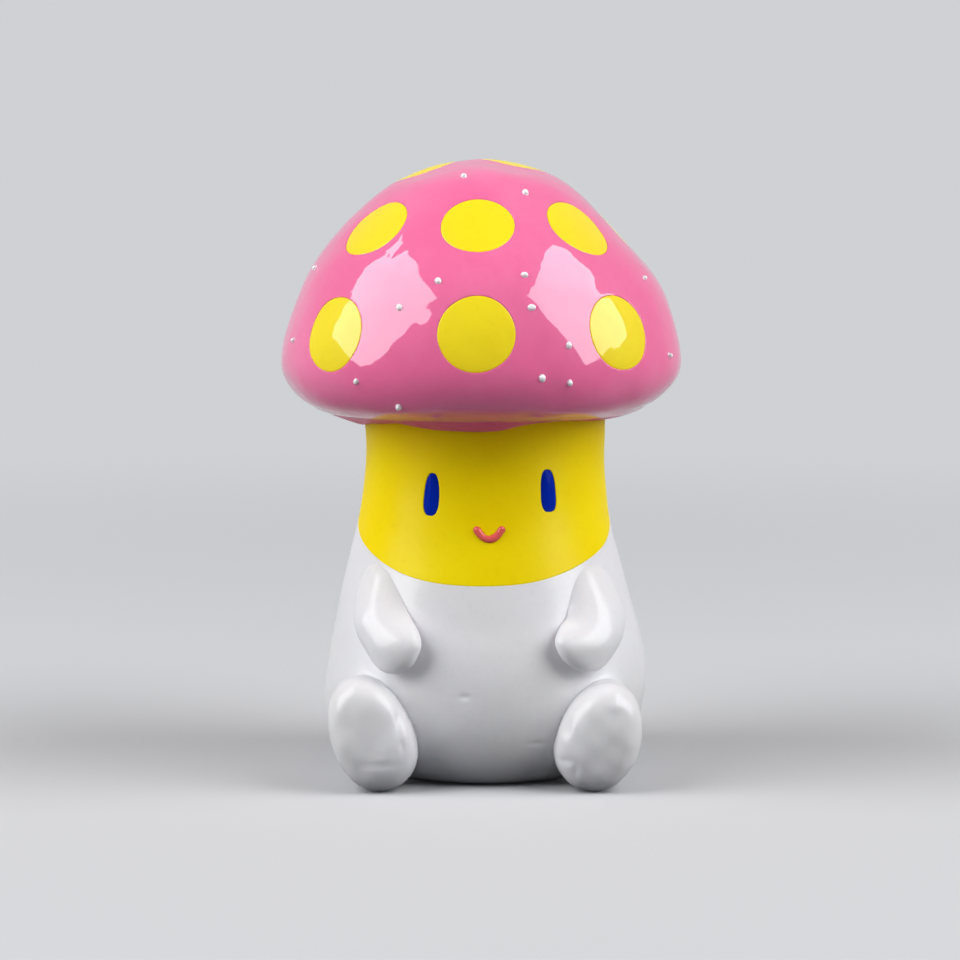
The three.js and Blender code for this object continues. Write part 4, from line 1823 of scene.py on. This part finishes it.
    def split(self, radius: Array, angle: Array) -> Array:
        """Height of the tilted cut at a radius: height - tan(tilt) r cos a, waved by hand.

        Args:
            radius: The radius at each angle.
            angle: Angles round the axis, in radians.

        Returns:
            The heights.
        """
        wave = sum(tall * np.sin(count * angle + phase)
                   for tall, count, phase in self.split_waves)
        fall = math.tan(math.radians(self.split_tilt)) * radius * np.cos(angle)
        return self.split_height - fall + wave

    def split_line(self, angle: Array, wall: float) -> tuple[Array, Array]:
        """Where the cut meets the stem's skin, or a wall under it.

        Args:
            angle: Angles round the axis, in radians.
            wall: Depth of the wall under the skin.

        Returns:
            Radius and height at each angle, found by putting the radius at the last height into
            the cut until both agree.
        """
        height = np.full(angle.shape, self.split_height)
        for _ in range(SPLIT_ROUNDS):
            height = self.split(self.form.radius_at(height) - wall, angle)
        return self.form.radius_at(height) - wall, height

    def torso(self, palette: Palette) -> None:
        """The white cup: out along its base, up its wall, in over the cut and down its inside.

        Args:
            palette: The finishes.
        """
        angle = turns(self.sides)
        _, high = self.split_line(angle, 0.0)
        high = high - self.split_gap
        base = np.linspace(0, self.base_radius, self.base_rings)[:-1, None]
        rows = [around(base, 0.0, angle[None])]

        up = np.linspace(0, 1, self.torso_wall)[:, None]
        settled = smooth_step(up * self.settling)
        heights = (high - self.split_edge)[None] * up
        wall = self.form.wrap(angle, heights, 0.0, settled)
        normal = self.form.normal(wall)
        for foot in self.feet:
            wall = wall + normal * (foot.raise_torso(wall, normal) * settled)[..., None]
        rows.append(wall)

        bend = np.linspace(0, np.pi / 2, self.edge_rings)[1:, None]
        tops = high - self.split_edge * (1 - np.sin(bend))
        rows.append(self.form.wrap(angle, tops, -self.split_edge * (1 - np.cos(bend))))
        inner, inner_high = self.split_line(angle, self.clay)
        inner_high = inner_high - self.split_gap
        outer = radius_of(rows[-1][-1])
        across = steps(self.cut_rings)
        rows.append(around(lerp(outer, inner, across), lerp(high, inner_high, across), angle))

        down = np.linspace(1, 0, self.torso_inside)[1:, None]
        heights = lerp(self.clay, inner_high, down)
        clay = self.clay * lerp(self.corner_clay, 1.0, down ** self.corner_power)
        rows.append(around(self.form.radius_at(heights) - clay, heights, angle))
        inwards = np.linspace(1, 0, self.floor_rings)[1:, None, None]
        middle = np.array([0, 0, self.clay]) * np.linspace(0, 1, self.floor_rings)[1:, None, None]
        rows.append(rows[-1][-1] * inwards + middle)
        piece = skin("torso_clay", np.concatenate(rows), Ends.POLES, STEM_SHIFT)
        palette.dress(piece, palette.white, "torso")

    def head(self, palette: Palette) -> None:
        """The yellow ring: up its wall from the cut, in at the top, down and out again.

        Args:
            palette: The finishes.
        """
        angle = turns(self.sides)
        _, low = self.split_line(angle, 0.0)
        bend = np.linspace(np.pi / 2, 0, self.edge_rings)[:-1, None]
        starts = low + self.split_edge * (1 - np.sin(bend))
        rows = [self.form.wrap(angle, starts, -self.split_edge * (1 - np.cos(bend)))]
        up = np.linspace(0, 1, self.head_wall)[:, None]
        heights = lerp(low + self.split_edge, self.neck_top, up)
        rows.append(self.form.wrap(angle, heights))
        inner, inner_low = self.split_line(angle, self.clay)
        outer = radius_of(rows[-1][-1])
        across = steps(self.cut_rings)
        rows.append(around(lerp(outer, self.top_radius - self.clay, across), self.neck_top, angle))
        down = np.linspace(1, 0, self.head_inside)[1:, None]
        heights = lerp(inner_low, self.neck_top, down)
        rows.append(around(self.form.radius_at(heights) - self.clay, heights, angle))
        start = radius_of(rows[0][0])
        back = across[:-1]
        rows.append(around(lerp(inner, start, back), lerp(inner_low, low, back), angle))
        piece = skin("head_clay", np.concatenate(rows), Ends.LOOP, STEM_SHIFT)
        cutters = [
            inlay.pocket(f"{name}_pocket", self.form, self.tangent(place), STEM_SHIFT)
            for name, (place, inlay) in self.eyes.items()
        ]
        cutters.append(self.thread("mouth_groove", self.groove_gap))
        carve(piece, cutters)
        palette.dress(piece, palette.head, "head")

    def tangent(self, place: Pair) -> Tangent:
        """The tangent plane at a place on the stem.

        Args:
            place: Its angle in degrees and its height.

        Returns:
            The plane.
        """
        angle, height = math.radians(place[0]), place[1]
        radius = float(self.form.radius_at(height))
        return self.form.tangent_near(
            (radius * math.sin(angle), -radius * math.cos(angle), height))

    def thread(self, name: str, gap: float) -> bpy.types.Object:
        """The mouth: a thread with round ends along a line on the head, half sunk into it.

        A ring lies square to the line. One that lies a distance p beyond the line's end has the
        radius sqrt(r^2 - p^2), which rounds the end. A slow wave makes the thread uneven.

        Args:
            name: The object's name.
            gap: Width added all round, for the groove.

        Returns:
            The closed thread.
        """
        line = resample(curve(self.mouth_line, self.line_points, Basis.THROUGH), self.even_points)
        radius = self.mouth_radius + gap
        length = np.linalg.norm(np.diff(line, axis=0), axis=1).sum()
        bend = np.linspace(-np.pi / 2, np.pi / 2, 2 * self.end_rings + 1)
        before, after = np.sin(bend[:self.end_rings]), np.sin(bend[self.end_rings + 1:])
        between = np.linspace(0, length, self.thread_rings)
        along = np.concatenate([radius * before, between, length + radius * after])
        past = np.maximum(np.maximum(-along, along - length), 0)
        thick = np.sqrt(np.clip(radius ** 2 - past ** 2, 0, None))
        share, pace, phase = self.uneven
        thick = thick * (1 + share * np.sin(along * pace + phase))
        marks = np.linspace(0, length, len(line))
        heading = np.gradient(line, axis=0)
        heading /= np.linalg.norm(heading, axis=1, keepdims=True)
        spot = np.stack([np.interp(along, marks, line[:, k]) for k in (0, 1)], 1)
        ahead = np.stack([np.interp(along, marks, heading[:, k]) for k in (0, 1)], 1)
        spot = spot + ahead * (along - np.clip(along, 0.0, length))[:, None]
        angle = turns(self.thread_sides)
        x = spot[:, :1] - ahead[:, 1:] * thick[:, None] * np.cos(angle)
        y = spot[:, 1:] + ahead[:, :1] * thick[:, None] * np.cos(angle)
        level = self.mouth_level + thick[:, None] * np.sin(angle)
        grid = self.form.lay(self.tangent(self.mouth_place), x, y, level)
        return skin(name, grid, Ends.POLES, STEM_SHIFT)

    def build(self, palette: Palette) -> None:
        """Builds every piece of the stem and dresses its core and dowel.

        Args:
            palette: The finishes.
        """
        self.torso(palette)
        self.head(palette)
        for name, (place, inlay) in self.eyes.items():
            disc = inlay.disc(f"{name}_clay", self.form, self.tangent(place), STEM_SHIFT)
            palette.dress(disc, palette.eyes, name)
        palette.dress(self.thread("mouth_clay", 0.0), palette.mouth, "mouth")
        for limb in (*self.arms, *self.feet):
            limb.build(self.form, palette)
        palette.dress_node("body_core", palette.foil)
        palette.dress_node("neck_dowel", palette.wood)


def towards(angle: float, height: float) -> Vector:
    """The direction at an angle from the front and an elevation.

    Args:
        angle: The angle, in degrees.
        height: The elevation, in degrees.

    Returns:
        The direction.
    """
    turn, rise = math.radians(angle), math.radians(height)
    return Vector((math.sin(turn) * math.cos(rise), -math.cos(turn) * math.cos(rise),
                   math.sin(rise)))


@dataclass(frozen=True)
class Softbox:
    """A rectangular studio lamp.

    Attributes:
        name: The lamp's name.
        place: Angle from the front and elevation of its place, in degrees.
        facing: Angle and elevation of the direction that its back points to, in degrees.
        roll: Turn about its own axis, in degrees.
        width: Width, in metres.
        tall: Height, in metres.
        distance: Distance from the figurine, in metres.
        layer: Gap between the two lamps that make it up, in metres.
        radiance: Brightness of its face as clay is lit by it.
        mirrored: Brightness of its image in gloss.
    """

    name: str
    place: Pair
    facing: Pair
    roll: float
    width: float
    tall: float
    distance: float = 1.5
    layer: float = 0.01
    radiance: float = 4.45
    mirrored: float = 8.6

    def build(self, target: Vector) -> None:
        """Makes the lamp that lights the clay, and just before it the one that gloss shows.

        Args:
            target: The point that the lamp's distance is measured from.
        """
        roll = Quaternion((0.0, 0.0, 1.0), math.radians(self.roll))
        turned_to = towards(*self.facing).to_track_quat("Z", "Y") @ roll
        for kind, radiance in (("light", self.radiance), ("mirrored", self.mirrored)):
            lamp = bpy.data.lights.new(f"{self.name}_{kind}", "AREA")
            lamp.shape = "RECTANGLE"
            lamp.size = self.width
            lamp.size_y = self.tall
            lamp.energy = radiance * math.pi * self.width * self.tall
            thing = bpy.data.objects.new(lamp.name, lamp)
            nearer = self.layer if kind == "mirrored" else 0.0
            thing.location = target + towards(*self.place) * (self.distance - nearer)
            thing.rotation_mode = "QUATERNION"
            thing.rotation_quaternion = turned_to
            thing.visible_camera = False
            thing.visible_glossy = kind == "mirrored"
            thing.visible_diffuse = kind == "light"
            thing.visible_transmission = kind == "light"
            thing.visible_volume_scatter = False
            bpy.context.scene.collection.objects.link(thing)


@dataclass
class Studio:
    """The pale floor and world, two softboxes and the camera.

    Attributes:
        target: The point that the camera looks at, in metres.
        distance: Distance of the camera from it, in metres.
        elevation: Elevation of the camera, in degrees.
        lens: Focal length, in millimetres.
        sensor: Width of the sensor, in millimetres.
        clip: Nearest and furthest distance that the camera sees, in metres.
        floor_radius: Radius of the floor, in metres.
        floor_thickness: Thickness of the floor, in metres.
        floor_fade: Distances between which the floor turns into background, in metres.
        floor_gloss: Roughness and specular level of the floor.
        floor_colour: Colour of the floor.
        bounce_colour: Colour of the floor as light that bounces meets it.
        world_colour: Colour of the background.
        fill: Strength of the world as it lights clay.
        softboxes: The lamps.
    """

    target: tuple[float, float, float] = (0.0, 0.0, 0.0572)
    distance: float = 0.6
    elevation: float = 5.5
    lens: float = 112.5
    sensor: float = 36.0
    clip: Pair = (0.01, 20.0)
    floor_radius: float = 4.0
    floor_thickness: float = 0.01
    floor_fade: Pair = (0.12, 0.75)
    floor_gloss: Pair = (0.8, 0.1)
    floor_colour: Colour = srgb(206, 207, 210)
    bounce_colour: Colour = srgb(88, 89, 93)
    world_colour: Colour = srgb(207, 209, 212)
    fill: float = 0.18
    softboxes: tuple[Softbox, ...] = (
        Softbox("left_softbox", place=(-76.0, 28.0), facing=(-38.5, 47.5), roll=-43.5,
                width=1.16, tall=1.53),
        Softbox("right_softbox", place=(75.0, 29.0), facing=(45.0, 51.5), roll=39.0,
                width=1.14, tall=1.47),
    )

    # Points round the floor, and its upper rings as shares of its radius.
    floor_sides, floor_rings = 96, (1.0, 0.25, 0.0625, 0.0)

    def camera(self) -> None:
        """Puts the camera at the photograph's angle, aimed at the target."""
        data = bpy.data.cameras.new("camera")
        data.lens = self.lens
        data.sensor_width = self.sensor
        data.clip_start, data.clip_end = self.clip
        thing = bpy.data.objects.new("camera", data)
        away = towards(0.0, self.elevation)
        thing.location = Vector(self.target) + away * self.distance
        thing.rotation_mode = "QUATERNION"
        thing.rotation_quaternion = (-away).to_track_quat("-Z", "Y")
        bpy.context.scene.collection.objects.link(thing)
        bpy.context.scene.camera = thing

    def floor(self) -> None:
        """The floor: a wide round slab, out along its bottom and in over its top."""
        radius = self.floor_radius / MM
        depth = self.floor_thickness / MM
        top = [(radius * share, 0) for share in self.floor_rings]
        section = np.array([(0, -depth), (radius, -depth), *top])
        grid = around(section[:, :1], section[:, 1:], turns(self.floor_sides)[None])
        slab = skin("floor", grid, Ends.POLES)
        slab.data.materials.append(self.floor_material())

    def floor_material(self) -> bpy.types.Material:
        """Pale matt board that turns into plain background far from the figurine.

        Rays that bounce between clay and floor meet a darker board than the camera does, as
        the photograph's dark room sends little light back up.

        Returns:
            The material.
        """
        nodes = Nodes("floor_board")
        roughness, shine = self.floor_gloss
        nodes.put(Roughness=roughness, Specular_IOR_Level=shine)
        colour = nodes.blend(seen_rays(nodes.tree), self.bounce_colour, self.floor_colour)
        nodes.join(colour, nodes.shader, "Base Color")
        length = nodes.add("ShaderNodeVectorMath", operation="LENGTH")
        nodes.join(nodes.where, length, 0)
        far = nodes.remap(length.outputs["Value"], self.floor_fade, (0.0, 1.0), "SMOOTHSTEP")
        plain = nodes.add("ShaderNodeEmission")
        plain.inputs["Color"].default_value = (*self.world_colour, 1.0)
        mix = nodes.add("ShaderNodeMixShader")
        for socket, output in enumerate((far, nodes.shader.outputs[0], plain.outputs[0])):
            nodes.join(output, mix, socket)
        nodes.join(mix.outputs[0], nodes.tree.nodes["Material Output"], "Surface")
        return nodes.material

    def world(self) -> None:
        """A pale world that the camera and gloss see, and a dimmer one that lights clay."""
        world = bpy.data.worlds.new("studio")
        bpy.context.scene.world = world
        world.use_nodes = True
        tree = world.node_tree
        ground = tree.nodes["Background"]
        ground.inputs["Color"].default_value = (*self.world_colour, 1.0)
        strength = tree.nodes.new("ShaderNodeMapRange")
        strength.inputs["To Min"].default_value = self.fill
        strength.inputs["To Max"].default_value = 1.0
        tree.links.new(seen_rays(tree), strength.inputs["Value"])
        tree.links.new(strength.outputs["Result"], ground.inputs["Strength"])

    def build(self) -> None:
        """Builds the studio."""
        bpy.context.scene.view_settings.view_transform = "Standard"
        self.camera()
        self.floor()
        self.world()
        for softbox in self.softboxes:
            softbox.build(Vector(self.target))


def seen_rays(tree: bpy.types.NodeTree) -> bpy.types.NodeSocket:
    """Tells the rays that show something from those that light clay.

    Args:
        tree: The node tree that needs it.

    Returns:
        1 for rays of the camera, of gloss and of glass, and 0 for the others.
    """
    rays = tree.nodes.new("ShaderNodeLightPath")
    seen = rays.outputs["Is Camera Ray"]
    for name in ("Is Glossy Ray", "Is Transmission Ray"):
        either = tree.nodes.new("ShaderNodeMath")
        either.operation = "MAXIMUM"
        tree.links.new(seen, either.inputs[0])
        tree.links.new(rays.outputs[name], either.inputs[1])
        seen = either.outputs[0]
    return seen


def main() -> None:
    """Builds the studio, the cap and the stem, in that order."""
    logging.basicConfig(level=logging.INFO, format="%(name)s: %(message)s")
    palette = Palette()
    Studio().build()
    Cap().build(palette)
    Body().build(palette)


if __name__ == "__main__":
    main()
